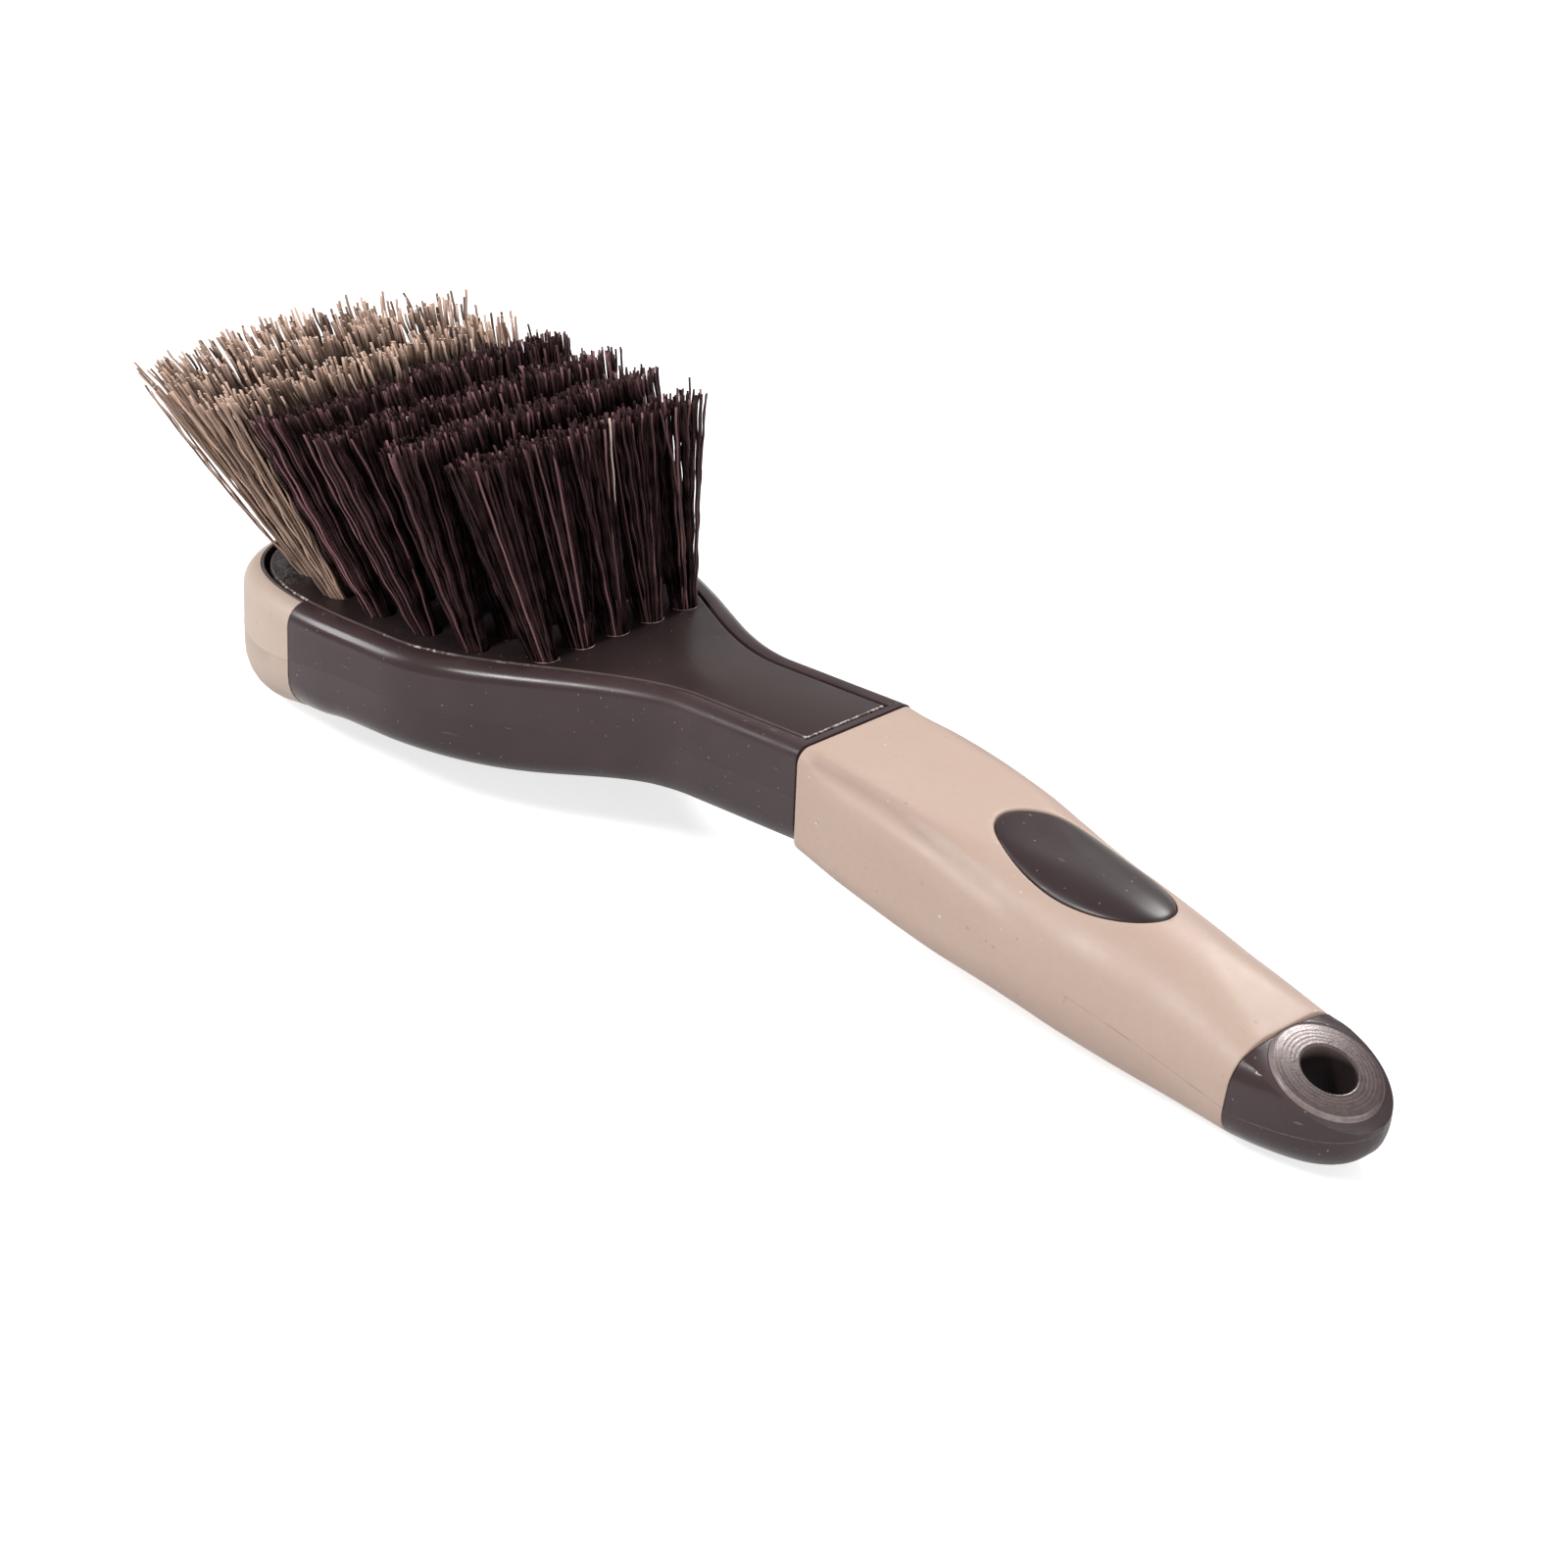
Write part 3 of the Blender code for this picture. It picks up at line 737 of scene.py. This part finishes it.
# Nose bumper
# A soft beige rubber cap moulded over the nose's wall, rim and underside.
# Two mould halves leave a fine raised seam across the front, and its cut edge stands a hair proud.
bumper_proud = 0.00012
bumper_proud_under = bumper_proud * 0.2
bumper_seam_proud = seam_proud * 2
bumper_beige = (0.64, 0.505, 0.42)
beige_speck = (0.86, 0.80, 0.76)
beige_dirt = (0.33, 0.23, 0.19)
beige_line = (0.20, 0.13, 0.105)

bumper = head_skin("nose_cap", 0.0, -bumper_proud_under, 0.0, rim_round, back_round,
                   seam=bumper_seam_proud, swell=bumper_proud)
carve(bumper, box_cutter("rest_box", bumper_end, well_outside), "DIFFERENCE")
carve(bumper, nose_stub("bumper_hollow"), "DIFFERENCE")
carve(bumper, recess_cutter("bumper_edge", seat_wall + clearance / 2), "DIFFERENCE")
smooth(bumper)


def beige_soft(name, colour, seam=None):
    """Soft rubber skin; the sleeve's also has its parting line, and painted shade where its mesh says so."""
    mix = new_finish(name, colour, 0.58)
    cloud = mix.spread(mix.noise(28.0, 4.0), 0.3, 0.7)
    tone = mix.blend(cloud, shaded(colour, (0.97, 0.955, 0.95)), shaded(colour, (1.02, 1.03, 1.035)))
    mottle = mix.spread(mix.noise(700.0, 2.0), 0.35, 0.65, 0.0, 0.25)
    tone = mix.blend(mottle, tone, tuple(c * 0.9 for c in colour))
    specks = mix.spread(mix.noise(900.0, 0.0), 0.855, 0.875, 0.0, 0.6)
    tone = mix.blend(specks, tone, beige_speck)
    dirt = mix.spread(mix.noise(800.0, 0.0, (1.3, 0.9, 1.1)), 0.845, 0.865, 0.0, 0.4)
    tone = mix.blend(dirt, tone, beige_dirt)
    if seam:
        tone = parting_line(mix, tone, seam, beige_line)
        # painted shade along the top's valleys, in patches, as strong as the mesh's attribute says
        valley_shade = mix.node("ShaderNodeAttribute", {}, attribute_name="valley_shade")["Fac"]
        patchy = mix.spread(mix.noise(60.0, 2.0), 0.2, 0.8, 0.45, 0.70)
        tone = mix.blend(mix.times(valley_shade, patchy), tone, shaded(colour, (0.64, 0.61, 0.60)))
    mix.put("Base Color", tone)
    mix.put("Roughness", mix.spread(mix.noise(90.0, 3.0), 0.3, 0.7, 0.40, 0.52))
    grain = mix.bump(mix.noise(1900.0, 3.0), strength=0.12, depth=0.00008)
    mix.bump(mix.noise(110.0, 1.0), strength=0.10, depth=0.0003, over=grain)
    return mix.owner


bumper.data.materials.clear()
bumper.data.materials.append(beige_soft("bumper_beige", bumper_beige))
bumper.location.x = shift
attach(bumper, "root")
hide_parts("nose_bumper")

# Grip sleeve
# The same soft beige rubber moulded over the core, open at both ends, with an oval window for the pad.
# A shallow valley runs along each side of its top, with painted shade in it; a parting line follows the low
# flanks.
sleeve_beige = (0.60, 0.442, 0.362)
sleeve_line = (0.080, 0.01747, -0.216)
sleeve_steps = 100
corner_steps = 14
end_round = 0.00035
end_round_steps = 5
tail_end_inset = end_round * 0.6
flat_points = 12
valley_depth = 0.00065
far_valley_depth = 0.00025
valley_rise = 0.0011
valley_fall = 0.0034
valley_shade_width = 0.0017
valley_shade_reach = 0.002
valley_start_fade = 0.04
valley_end = 0.74
valley_end_fade = 0.5
# along the sleeve, height up the section's side, both as shares
valley_line = ((0.0, 0.93), (0.15, 0.96), (0.21, 0.95), (0.27, 0.91), (0.34, 0.86), (0.40, 0.78), (0.46, 0.69),
               (0.53, 0.59), (0.67, 0.47), (1.0, 0.40))
# the window's edge from below upwards: distance outside its margin, and height over the grip's skin
window_margin = 0.00012
window_profile = ((0.0, -0.006), (0.0, -0.00040), (0.00010, -0.00016), (0.00026, -0.00004),
                  (0.00050, 0.00003), (0.00100, 0.0050))
valley_shade_points = []


def sleeve_ring(share, inset):
    """A grip section with the two shallow valleys worked in; it notes how much painted shade each point gets.
    """
    _, middle, tall, _ = grip_sizes(share, 0.0)
    fade = ease(share / valley_start_fade) * ease((valley_end - share) / valley_end_fade)
    section = grip_section(share, inset, corner_steps)
    points = []
    for i, point in enumerate(section):
        points.append(Vector(point))
        if i % (corner_steps + 1) == corner_steps:
            after = Vector(section[(i + 1) % len(section)])
            points.extend(Vector(point).lerp(after, k / (flat_points + 1)) for k in range(1, flat_points + 1))
    level = middle + tall * between(valley_line, share, 1)
    across = 0.0
    for i, point in enumerate(points):
        before = points[i - 1]
        if point.y < 0.0 and min(before.z, point.z) <= level < max(before.z, point.z):
            across = abs(before.lerp(point, (level - before.z) / (point.z - before.z)).y)
    ring = []
    for i, point in enumerate(points):
        before, after = points[i - 1], points[(i + 1) % len(points)]
        out = Vector((0.0, after.z - before.z, before.y - after.y)).normalized()
        away = math.hypot(abs(point.y) - across, point.z - level)
        width = valley_rise if point.z > level else valley_fall
        deep = valley_depth if point.y < 0.0 else far_valley_depth
        ring.append(tuple(point - out * deep * fade * math.exp(-(away / width) ** 2)))
        # the painted shade is strongest at the valley's bottom
        valley_shade_points.append((ring[-1], fade * math.exp(-(away / valley_shade_width) ** 2)))
    return ring


sleeve_rings = []
for i in range(end_round_steps):
    turn = math.pi / 2 * i / end_round_steps
    along = (clearance + end_round * (1.0 - math.cos(turn))) / grip_length
    sleeve_rings.append(sleeve_ring(along, end_round * (1.0 - math.sin(turn))))
first = (clearance + end_round) / grip_length
last = 1.0 - end_round / grip_length
for i in range(sleeve_steps + 1):
    sleeve_rings.append(sleeve_ring(first + (last - first) * i / sleeve_steps, 0.0))
for i in range(1, end_round_steps + 1):
    turn = math.pi / 2 * i / end_round_steps
    along = 1.0 - end_round / grip_length * (1.0 - math.sin(turn))
    sleeve_rings.append(sleeve_ring(along, tail_end_inset * (1.0 - math.cos(turn))))
sleeve = loft("soft_grip", sleeve_rings)
carve(sleeve, grip_core("sleeve_bore"), "DIFFERENCE")
window = loft("pad_window", [oval_loop(1.0, window_margin + out, lift) for out, lift in window_profile])
carve(sleeve, window, "DIFFERENCE")
smooth(sleeve)

# each sleeve point takes the painted valley shade of the nearest ring point, fading with distance
valley_shade_finder = KDTree(len(valley_shade_points))
for i, noted in enumerate(valley_shade_points):
    valley_shade_finder.insert(noted[0], i)
valley_shade_finder.balance()
valley_shade = sleeve.data.attributes.new("valley_shade", "FLOAT", "POINT")
for vertex in sleeve.data.vertices:
    point, i, distance = valley_shade_finder.find(vertex.co)
    valley_shade.data[vertex.index].value = valley_shade_points[i][1] * ease(1.0 - distance / valley_shade_reach)
sleeve.data.materials.clear()
sleeve.data.materials.append(beige_soft("grip_beige", sleeve_beige, sleeve_line))
sleeve.location.x = shift
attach(sleeve, "root")
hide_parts("grip_sleeve")

# Tuft plate
# A flat board of dark brown plastic, drilled for the tufts and pressed into the head, with a thin groove
# all round. Its edge is scuffed white in places and its top is rougher at the nose.
board_colour = (0.021, 0.0130, 0.0135)
# the board's paler, warmer colour towards the neck is a painted reflection
board_painted_reflection = (0.050, 0.0305, 0.030)
board_worn_colour = (0.062, 0.053, 0.050)
edge_round = 0.00034
nose_gap = 0.00045
tuft_hole_radius = 0.0026
tuft_hole_depth = 0.0046
drill_sides = 40
row_tufts = (5, 6, 6, 6, 6, 5, 4)
row_margin = 0.0075
row_spread = plate_half_width - row_margin
row_spread_shares = (0.74, 0.98, 1.01, 1.01, 1.0, 0.84, 0.55)
row_step_shares = (0.0, 1.0, 2.0, 3.05, 4.05, 5.0, 5.82)
row_bow_share = 0.16
bowed_from = 5
first_row_step = 0.027
last_row_margin = 0.00705
first_row = plate_front + plate_nose + plate_straight + first_row_step
row_pitch = (first_row - plate_front - last_row_margin) / (row_step_shares[-1] + row_bow_share)
plate_lean = math.atan(plate_rise_share)
worn_start = plate_front + 0.024
worn_full = plate_front + 0.010
painted_reflection_start = first_row + 0.004
painted_reflection_full = first_row + 0.022
scuff_start = plate_front + 0.075
scuff_end = plate_front + 0.085
rear_scuff_start = plate_rear - 0.0016
rear_scuff_full = plate_rear - 0.0010


def tuft_places():
    """Row number, place in the row and plan position of each tuft."""
    places = []
    for row, count in enumerate(row_tufts):
        x = first_row - row_pitch * row_step_shares[row]
        for place in range(count):
            share = 2.0 * place / (count - 1) - 1.0
            bow = row_pitch * row_bow_share * (1.0 - share * share) if row >= bowed_from else 0.0
            places.append((row, place, x - bow, row_spread * row_spread_shares[row] * share))
    return places


def square_to_plate(x, y):
    return Matrix.Translation((x, y, plate_height(x))) @ Matrix.Rotation(-plate_lean, 4, "Y")


board_edge = -groove_width / 2
board_profile = ((-plate_thickness, board_edge), (-edge_round, board_edge),
                 (-edge_round * 0.3, board_edge - edge_round * 0.3), (0.0, board_edge - edge_round))
board = plate_stack("tuft_board", board_profile, -nose_gap)
drills = bmesh.new()
for row, place, x, y in tuft_places():
    drill = bmesh.ops.create_cone(drills, cap_ends=True, segments=drill_sides, radius1=tuft_hole_radius,
                                  radius2=tuft_hole_radius, depth=tuft_hole_depth * 2)
    bmesh.ops.transform(drills, matrix=square_to_plate(x, y), verts=drill["verts"])
drill_mesh = bpy.data.meshes.new("drills")
drills.to_mesh(drill_mesh)
drills.free()
carve(board, mesh_object("drills", drill_mesh), "DIFFERENCE")
smooth(board)

board_brown = brown_satin("board_satin", board_colour, (0.30, 0.40))
board_top = Finish(board_brown)
along = board_top.axis("X")
mottle = board_top.spread(board_top.noise(300.0, 4.0, roughness=0.7), 0.46, 0.60)
worn = board_top.times(board_top.spread(along, worn_start, worn_full), mottle)
tone = board_top.shader.inputs["Base Color"].links[0].from_socket
# painted reflection: the top grows paler and warmer towards the neck
tone = board_top.blend(board_top.spread(along, painted_reflection_start, painted_reflection_full, 0.0, 0.8), tone, board_painted_reflection)
board_top.put("Base Color", board_top.blend(worn, tone, board_worn_colour))
board_top.bump(worn, strength=1.0, depth=0.0007, over=board_top.shader.inputs["Normal"].links[0].from_socket)

scuffed = new_finish("scuffed_edge", board_colour, 0.5)
along = scuffed.axis("X")
flecks = scuffed.spread(scuffed.noise(1300.0, 3.0), 0.50, 0.57)
patches = scuffed.times(scuffed.spread(scuffed.noise(95.0, 1.0), 0.47, 0.60),
                        scuffed.spread(along, scuff_start, scuff_end, 1.0, 0.0))
scuffs = scuffed.reckon("MAXIMUM", patches, scuffed.spread(along, rear_scuff_start, rear_scuff_full, 0.0, 0.9))
tone = scuffed.blend(scuffed.noise(200.0, 2.0), (0.055, 0.035, 0.033), (0.16, 0.115, 0.105))
tone = scuffed.blend(scuffed.times(flecks, scuffs), tone, (0.62, 0.54, 0.51))
scuffed.put("Base Color", tone)
scuffed.bump(scuffed.noise(2500.0, 2.0), strength=0.5, depth=0.0001)

board.data.materials.clear()
board.data.materials.append(board_brown)
board.data.materials.append(scuffed.owner)
for face in board.data.polygons:
    depth = plate_height(face.center.x) - face.center.z
    face.material_index = 1 if 0.1 * edge_round < depth < edge_round and face.normal.z > 0.2 else 0
board.location.x = shift
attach(board, "root")
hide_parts("tuft_plate")

# Flash at the holes
# Drilling the board pushes up a thin pale crescent of its plastic at the rim of each hole.
# It shows at the row nearest the handle, where the tufts leave it free.
flash_width = 0.00022
flash_steps = 24
flash_sides = 6
flash_start = math.radians(-95.0)
flash_turn = math.radians(150.0)
flash_wander = math.radians(12.0)


def tube_faces(start, steps, sides):
    """Side faces and two end caps of a tube whose rings of points follow each other from a start."""
    faces = []
    for step in range(steps):
        low = start + step * sides
        for k in range(sides):
            j = (k + 1) % sides
            faces.append((low + k, low + j, low + sides + j, low + sides + k))
    top = start + steps * sides
    faces.append(tuple(start + k for k in reversed(range(sides))))
    faces.append(tuple(top + k for k in range(sides)))
    return faces


flash_points, flash_faces = [], []
for row, place, x, y in tuft_places():
    if row:
        continue
    seat = square_to_plate(x, y)
    flash_faces += tube_faces(len(flash_points), flash_steps, flash_sides)
    for i in range(flash_steps + 1):
        share = i / flash_steps
        turn = flash_start + flash_turn * share + flash_wander * math.sin(3.0 * place)
        uneven = 0.75 + 0.25 * math.sin(9.0 * share + 2.0 * place)
        thick = flash_width / 2 * (0.08 + math.sin(math.pi * share) ** 0.7) * uneven
        for k in range(flash_sides):
            a = 2 * math.pi * k / flash_sides
            away = tuft_hole_radius + flash_width * 0.3 + thick * math.cos(a)
            point = Vector((away * math.cos(turn), away * math.sin(turn), thick * 0.8 * math.sin(a)))
            flash_points.append(tuple(seat @ point))
flash_mesh = bpy.data.meshes.new("hole_flash")
flash_mesh.from_pydata(flash_points, [], flash_faces)
flash_mesh.shade_smooth()
flash = mesh_object("hole_flash", flash_mesh)

pale_flash = new_finish("pale_flash", (0.50, 0.36, 0.28), 0.5)
mottle = pale_flash.spread(pale_flash.noise(900.0, 2.0), 0.40, 0.60)
pale_flash.put("Base Color", pale_flash.blend(mottle, (0.16, 0.10, 0.08), (0.62, 0.47, 0.38)))
pale_flash.bump(pale_flash.noise(2200.0, 2.0), strength=0.4, depth=0.0001)
flash_mesh.materials.append(pale_flash.owner)
flash.location.x = shift
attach(flash, "root")
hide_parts("tuft_plate")

# Tufts
# Each tuft is a hank of crimped nylon filaments, folded and stapled into its hole, then trimmed flat on top.
# Rows a to d by the handle are dark brown, rows e to g at the nose beige; all splay outwards to the trim.
dark_rows = 4
strand_height = 0.0408
trim_fall_share = 0.07
row_trim_shares = (0.965, 0.985, 1.0, 1.005, 1.025, 1.045, 1.05)
flare_lengthwise_share = 0.24
flare_crosswise_shares = (0.29, 0.12, 0.25, 0.31, 0.30, 0.49, 0.64)
spread_across_shares = (2.50, 2.30, 2.35, 2.35, 3.10, 3.45, 3.50)
sweep = -0.0072
side_lean = -0.0011
twist_share = 0.035
side_limit = 0.0371
hank_uneven = 0.0003
# an inner strand keeps its colour only near its top; lower down it is darkened, a painted shade
lit_top = 0.0045
lit_fade = lit_top * 0.8
lit_from_first_row = 0.5
lit_from_last_row = 0.3
crimp_length = 0.0082
crimp_height = 0.00020
crimp_start = 0.006
least_crimp = 0.45
crimp_range = 1.1
loose_crimp = 1.6
phase_spread = 0.6
turn_spread = 0.5
filament_sides = 5
filament_steps = 30
root_depth = 0.0015
bend = 0.00055
loose_bend = 0.0011
loose_from = 0.8
loose_stray = (0.0010, 0.0034)
loose_forward = 0.0035
loose_lift = (-0.0010, 0.0022)
# a glint strand carries a mark in its tint that colours its upper part pale: a painted highlight
painted_glint_mark = 2.0
glint_share = 0.0006
glint_from = 0.6
glint_tuft = (0, 2)
painted_glint_colour = (0.72, 0.58, 0.50)
dark_kind = SimpleNamespace(radius=0.00023, gap=0.00051, spread_along=1.75, edge_splay=0.30, scatter=0.00050,
                            uneven=0.00045, loose_share=0.06, tint_power=6.5, edge_tint_power=3.2)
beige_kind = SimpleNamespace(radius=0.00027, gap=0.00054, spread_along=2.2, edge_splay=0.10, scatter=0.00135,
                             uneven=0.00095, loose_share=0.12, tint_power=1.22, edge_tint_power=1.22)


def filament_tint(name, dark, light, tip, roughness, shine):
    """Filament colour by strand, with a paler colour for the cut ends; the strands' attribute also carries
    painted shade and painted glints.
    """
    made = []
    for part, low, high, gloss in ((name, dark, light, roughness), (name + "_cut_end", tip, tip, 0.6)):
        mix = new_finish(part, low, gloss)
        mix.put("Specular IOR Level", shine)
        mix.put("Specular Tint", (1.0, 0.60, 0.62))
        tint = mix.node("ShaderNodeAttribute", {}, attribute_name="strand_tint_with_painted_light")["Fac"]
        tone = mix.blend(tint, low, high)
        along = mix.spread(mix.noise(240.0, 2.0), 0.35, 0.65, 0.0, 0.35)
        tone = mix.blend(along, tone, tuple(c * 0.3 for c in high))
        # painted highlight on the glint strands
        glint = mix.spread(tint, painted_glint_mark * 0.7, painted_glint_mark * 0.8)
        tone = mix.blend(glint, tone, painted_glint_colour)
        mix.put("Base Color", tone)
        mix.bump(mix.noise(3000.0, 1.0), strength=0.15, depth=0.00005)
        made.append(mix.owner)
    return made


dark_finish = filament_tint("dark_filament", (0.0018, 0.0006, 0.0007), (0.40, 0.205, 0.217),
                            tip=(0.050, 0.019, 0.021), roughness=0.30, shine=0.08)
# the beige filaments' darkest colour is a painted shadow between strands
beige_finish = filament_tint("beige_filament", (0.022, 0.0095, 0.0065), (0.98, 0.69, 0.545),
                             tip=(0.97, 0.685, 0.51), roughness=0.38, shine=0.20)


def hank_roots(packed, gap):
    """Places of the filaments in their hole, packed as a honeycomb."""
    roots = []
    span = int(packed / gap) + 2
    for i in range(-span, span + 1):
        for j in range(-span, span + 1):
            u = gap * (i + 0.5 * (j % 2))
            v = gap * math.sqrt(3) / 2 * j
            if math.hypot(u, v) <= packed:
                roots.append((u, v))
    return roots


def tuft_mesh(name, row, place, x, y):
    """One hank: filaments packed in the hole, fanned to the trim plane, each with its crimp."""
    draw = random.Random(100 * row + place)
    dark = row < dark_rows
    kind = dark_kind if dark else beige_kind
    packed = tuft_hole_radius - kind.radius
    roots = hank_roots(packed, kind.gap)
    rightmost = max(roots, key=lambda root: root[0] + root[1])
    at_edge = place in (0, row_tufts[row] - 1)
    flare_x = flare_lengthwise_share * (x - first_row) + sweep
    flare_y = flare_crosswise_shares[row] * y + side_lean
    hank_phase = draw.uniform(0.0, 2 * math.pi)
    hank_turn = draw.uniform(0.0, math.pi)
    hank_lift = draw.gauss(0.0, hank_uneven)
    points, faces, tints_with_painted_light = [], [], []
    for u, v in roots:
        outward = v * y > 0.0 and at_edge
        outer = (outward or row == 0 and u > packed * lit_from_first_row
                 or row == len(row_tufts) - 1 and u < -packed * lit_from_last_row)
        splay = kind.edge_splay if outward else 0.0
        tip_y = flare_y + v * spread_across_shares[row] * (1.0 + splay)
        tip_x = flare_x + u * kind.spread_along + twist_share * (y + tip_y)
        loose = math.hypot(u, v) > packed * loose_from and draw.random() < kind.loose_share
        if loose:
            stray = draw.uniform(*loose_stray)
            tip_x += stray * u / packed
            tip_y += stray * v / packed
            tip_x += draw.uniform(0.0, loose_forward) if row == dark_rows else 0.0
        tip_x += draw.gauss(0.0, kind.scatter)
        tip_y += draw.gauss(0.0, kind.scatter)
        beyond = abs(y + tip_y) - side_limit
        if beyond > 0.0:
            tip_y -= math.copysign(beyond, y + tip_y)
        trim = strand_height * row_trim_shares[row] + trim_fall_share * (x + tip_x - first_row)
        trim += hank_lift + draw.gauss(0.0, kind.uneven) + (draw.uniform(*loose_lift) if loose else 0.0)
        tip = Vector((tip_x, tip_y, trim))
        root = Vector((u, v, -root_depth))
        slack = loose_bend if loose else bend
        bow = Vector((draw.gauss(0.0, slack), draw.gauss(0.0, slack), 0.0))
        phase = hank_phase + draw.gauss(0.0, phase_spread)
        turn = hank_turn + draw.gauss(0.0, turn_spread)
        wave = Vector((math.cos(turn), math.sin(turn), 0.0))
        height = crimp_height * (least_crimp + crimp_range * draw.random() ** 2)
        height *= loose_crimp if loose else 1.0
        tint = draw.random() ** (kind.edge_tint_power if outward and row else kind.tint_power)
        glint = (u, v) == rightmost and (row, place) == glint_tuft or dark and draw.random() < glint_share
        length = (tip - root).length
        faces += tube_faces(len(points), filament_steps, filament_sides)
        for step in range(filament_steps + 1):
            t = step / filament_steps
            swing = math.sin(2 * math.pi * length * t / crimp_length + phase) * height
            swing *= ease(t * length / crimp_start)
            centre = root.lerp(tip, t) + bow * 4 * t * (1 - t) + wave * swing
            # painted shade: inner strands darken below the lit top, outer strands keep their tint
            shade = 1.0 if outer else ease((length * (t - 1.0) + lit_top) / lit_fade)
            for k in range(filament_sides):
                a = 2 * math.pi * k / filament_sides
                across, along = kind.radius * math.cos(a), kind.radius * math.sin(a)
                points.append((centre.x + across, centre.y + along, centre.z))
                tints_with_painted_light.append(painted_glint_mark if glint and t > glint_from else tint * shade)
    mesh = bpy.data.meshes.new(name)
    mesh.from_pydata(points, [], faces)
    mesh.attributes.new("strand_tint_with_painted_light", "FLOAT", "POINT").data.foreach_set("value", tints_with_painted_light)
    mesh.shade_smooth()
    side_faces = filament_sides * filament_steps
    for face in mesh.polygons:
        number = face.index % (side_faces + 2)
        face.use_smooth = number < side_faces
        face.material_index = 1 if number == side_faces + 1 else 0
    return mesh


for row, place, x, y in tuft_places():
    letter = "abcdefg"[row]
    tuft = mesh_object("bristles_%s%d" % (letter, place + 1), tuft_mesh("bristles", row, place, x, y))
    for finish in dark_finish if row < dark_rows else beige_finish:
        tuft.data.materials.append(finish)
    tuft.matrix_world = Matrix.Translation((shift, 0.0, 0.0)) @ square_to_plate(x, y)
    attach(tuft, "root")
    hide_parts("tuft_%s%d" % (letter, place + 1))

# Table and light
# The brush lies on a wide pale matt table under soft lamps, with an even pale room around it.
# The table and the room show brighter to the camera and in gloss than they light the brush.
table_half = 6.0
table_under = 0.0001
table_corners = ((-1, -1), (1, -1), (1, 1), (-1, 1))
table_mesh = bpy.data.meshes.new("table")
table_mesh.from_pydata([(table_half * x, table_half * y, 0.0) for x, y in table_corners], [], [(0, 1, 2, 3)])
table = mesh_object("table", table_mesh)
table.location.z = -table_under
pale_table = new_finish("pale_table", (0.66, 0.66, 0.66), 0.9)
tone = pale_table.blend(pale_table.noise(3.0, 2.0), (0.655, 0.655, 0.655), (0.665, 0.665, 0.665))
pale_table.put("Base Color", tone)
pale_table.put("Emission Color", (1.0, 1.0, 1.0))
rays = pale_table.node("ShaderNodeLightPath", {})
seen = pale_table.spread(rays["Is Camera Ray"], 0.0, 1.0, 0.0, 0.75)
mirrored = pale_table.spread(rays["Is Glossy Ray"], 0.0, 1.0, 0.0, 0.34)
pale_table.put("Emission Strength", pale_table.reckon("MAXIMUM", seen, mirrored))
table_mesh.materials.append(pale_table.owner)

room = bpy.data.worlds.new("pale_room")
bpy.context.scene.world = room
room_light = Finish(room, "Background")
room_light.put("Color", (1.0, 0.985, 0.97))
mirrored = room_light.node("ShaderNodeLightPath", {})["Is Glossy Ray"]
room_light.put("Strength", room_light.spread(mirrored, 0.0, 1.0, 0.22, 0.36))


def soft_lamp(name, towards, distance, size, power):
    """A square soft white lamp in a direction from the brush, facing it."""
    lamp = bpy.data.lights.new(name, "AREA")
    lamp.shape = "SQUARE"
    lamp.size = size
    lamp.energy = power
    item = bpy.data.objects.new(name, lamp)
    bpy.context.scene.collection.objects.link(item)
    way = Vector(towards).normalized()
    item.location = way * distance
    item.rotation_euler = way.to_track_quat("Z", "Y").to_euler()


soft_lamp("front_lamp", (-0.17, -0.64, 0.75), distance=1.6, size=0.34, power=13.0)
soft_lamp("left_lamp", (-0.78, -0.42, 0.46), distance=1.8, size=0.5, power=7.5)
soft_lamp("back_left_lamp", (-0.09, 0.69, 0.72), distance=1.6, size=0.34, power=12.0)
soft_lamp("back_right_lamp", (0.60, 0.40, 0.70), distance=1.8, size=0.9, power=5.0)
soft_lamp("right_lamp", (0.90, -0.16, 0.30), distance=1.6, size=0.60, power=5.0)

# Camera
# A long lens from the front right, a little above the brush, level but for a slight roll.
camera_turn = math.radians(44.5497)
camera_rise = math.radians(27.7578)
camera_roll = math.radians(2.4754)
camera_place = (0.5170 + shift, -0.5262, 0.4064)
lens = bpy.data.cameras.new("camera")
lens.lens = 105.0
lens.sensor_width = 36.0
lens.clip_start = 0.01
camera = bpy.data.objects.new("camera", lens)
bpy.context.scene.collection.objects.link(camera)
camera.matrix_world = (Matrix.Translation(camera_place)
                       @ Matrix.Rotation(camera_turn, 4, "Z")
                       @ Matrix.Rotation(math.pi / 2 - camera_rise, 4, "X")
                       @ Matrix.Rotation(camera_roll, 4, "Z"))
bpy.context.scene.camera = camera
bpy.context.scene.view_settings.view_transform = "Standard"
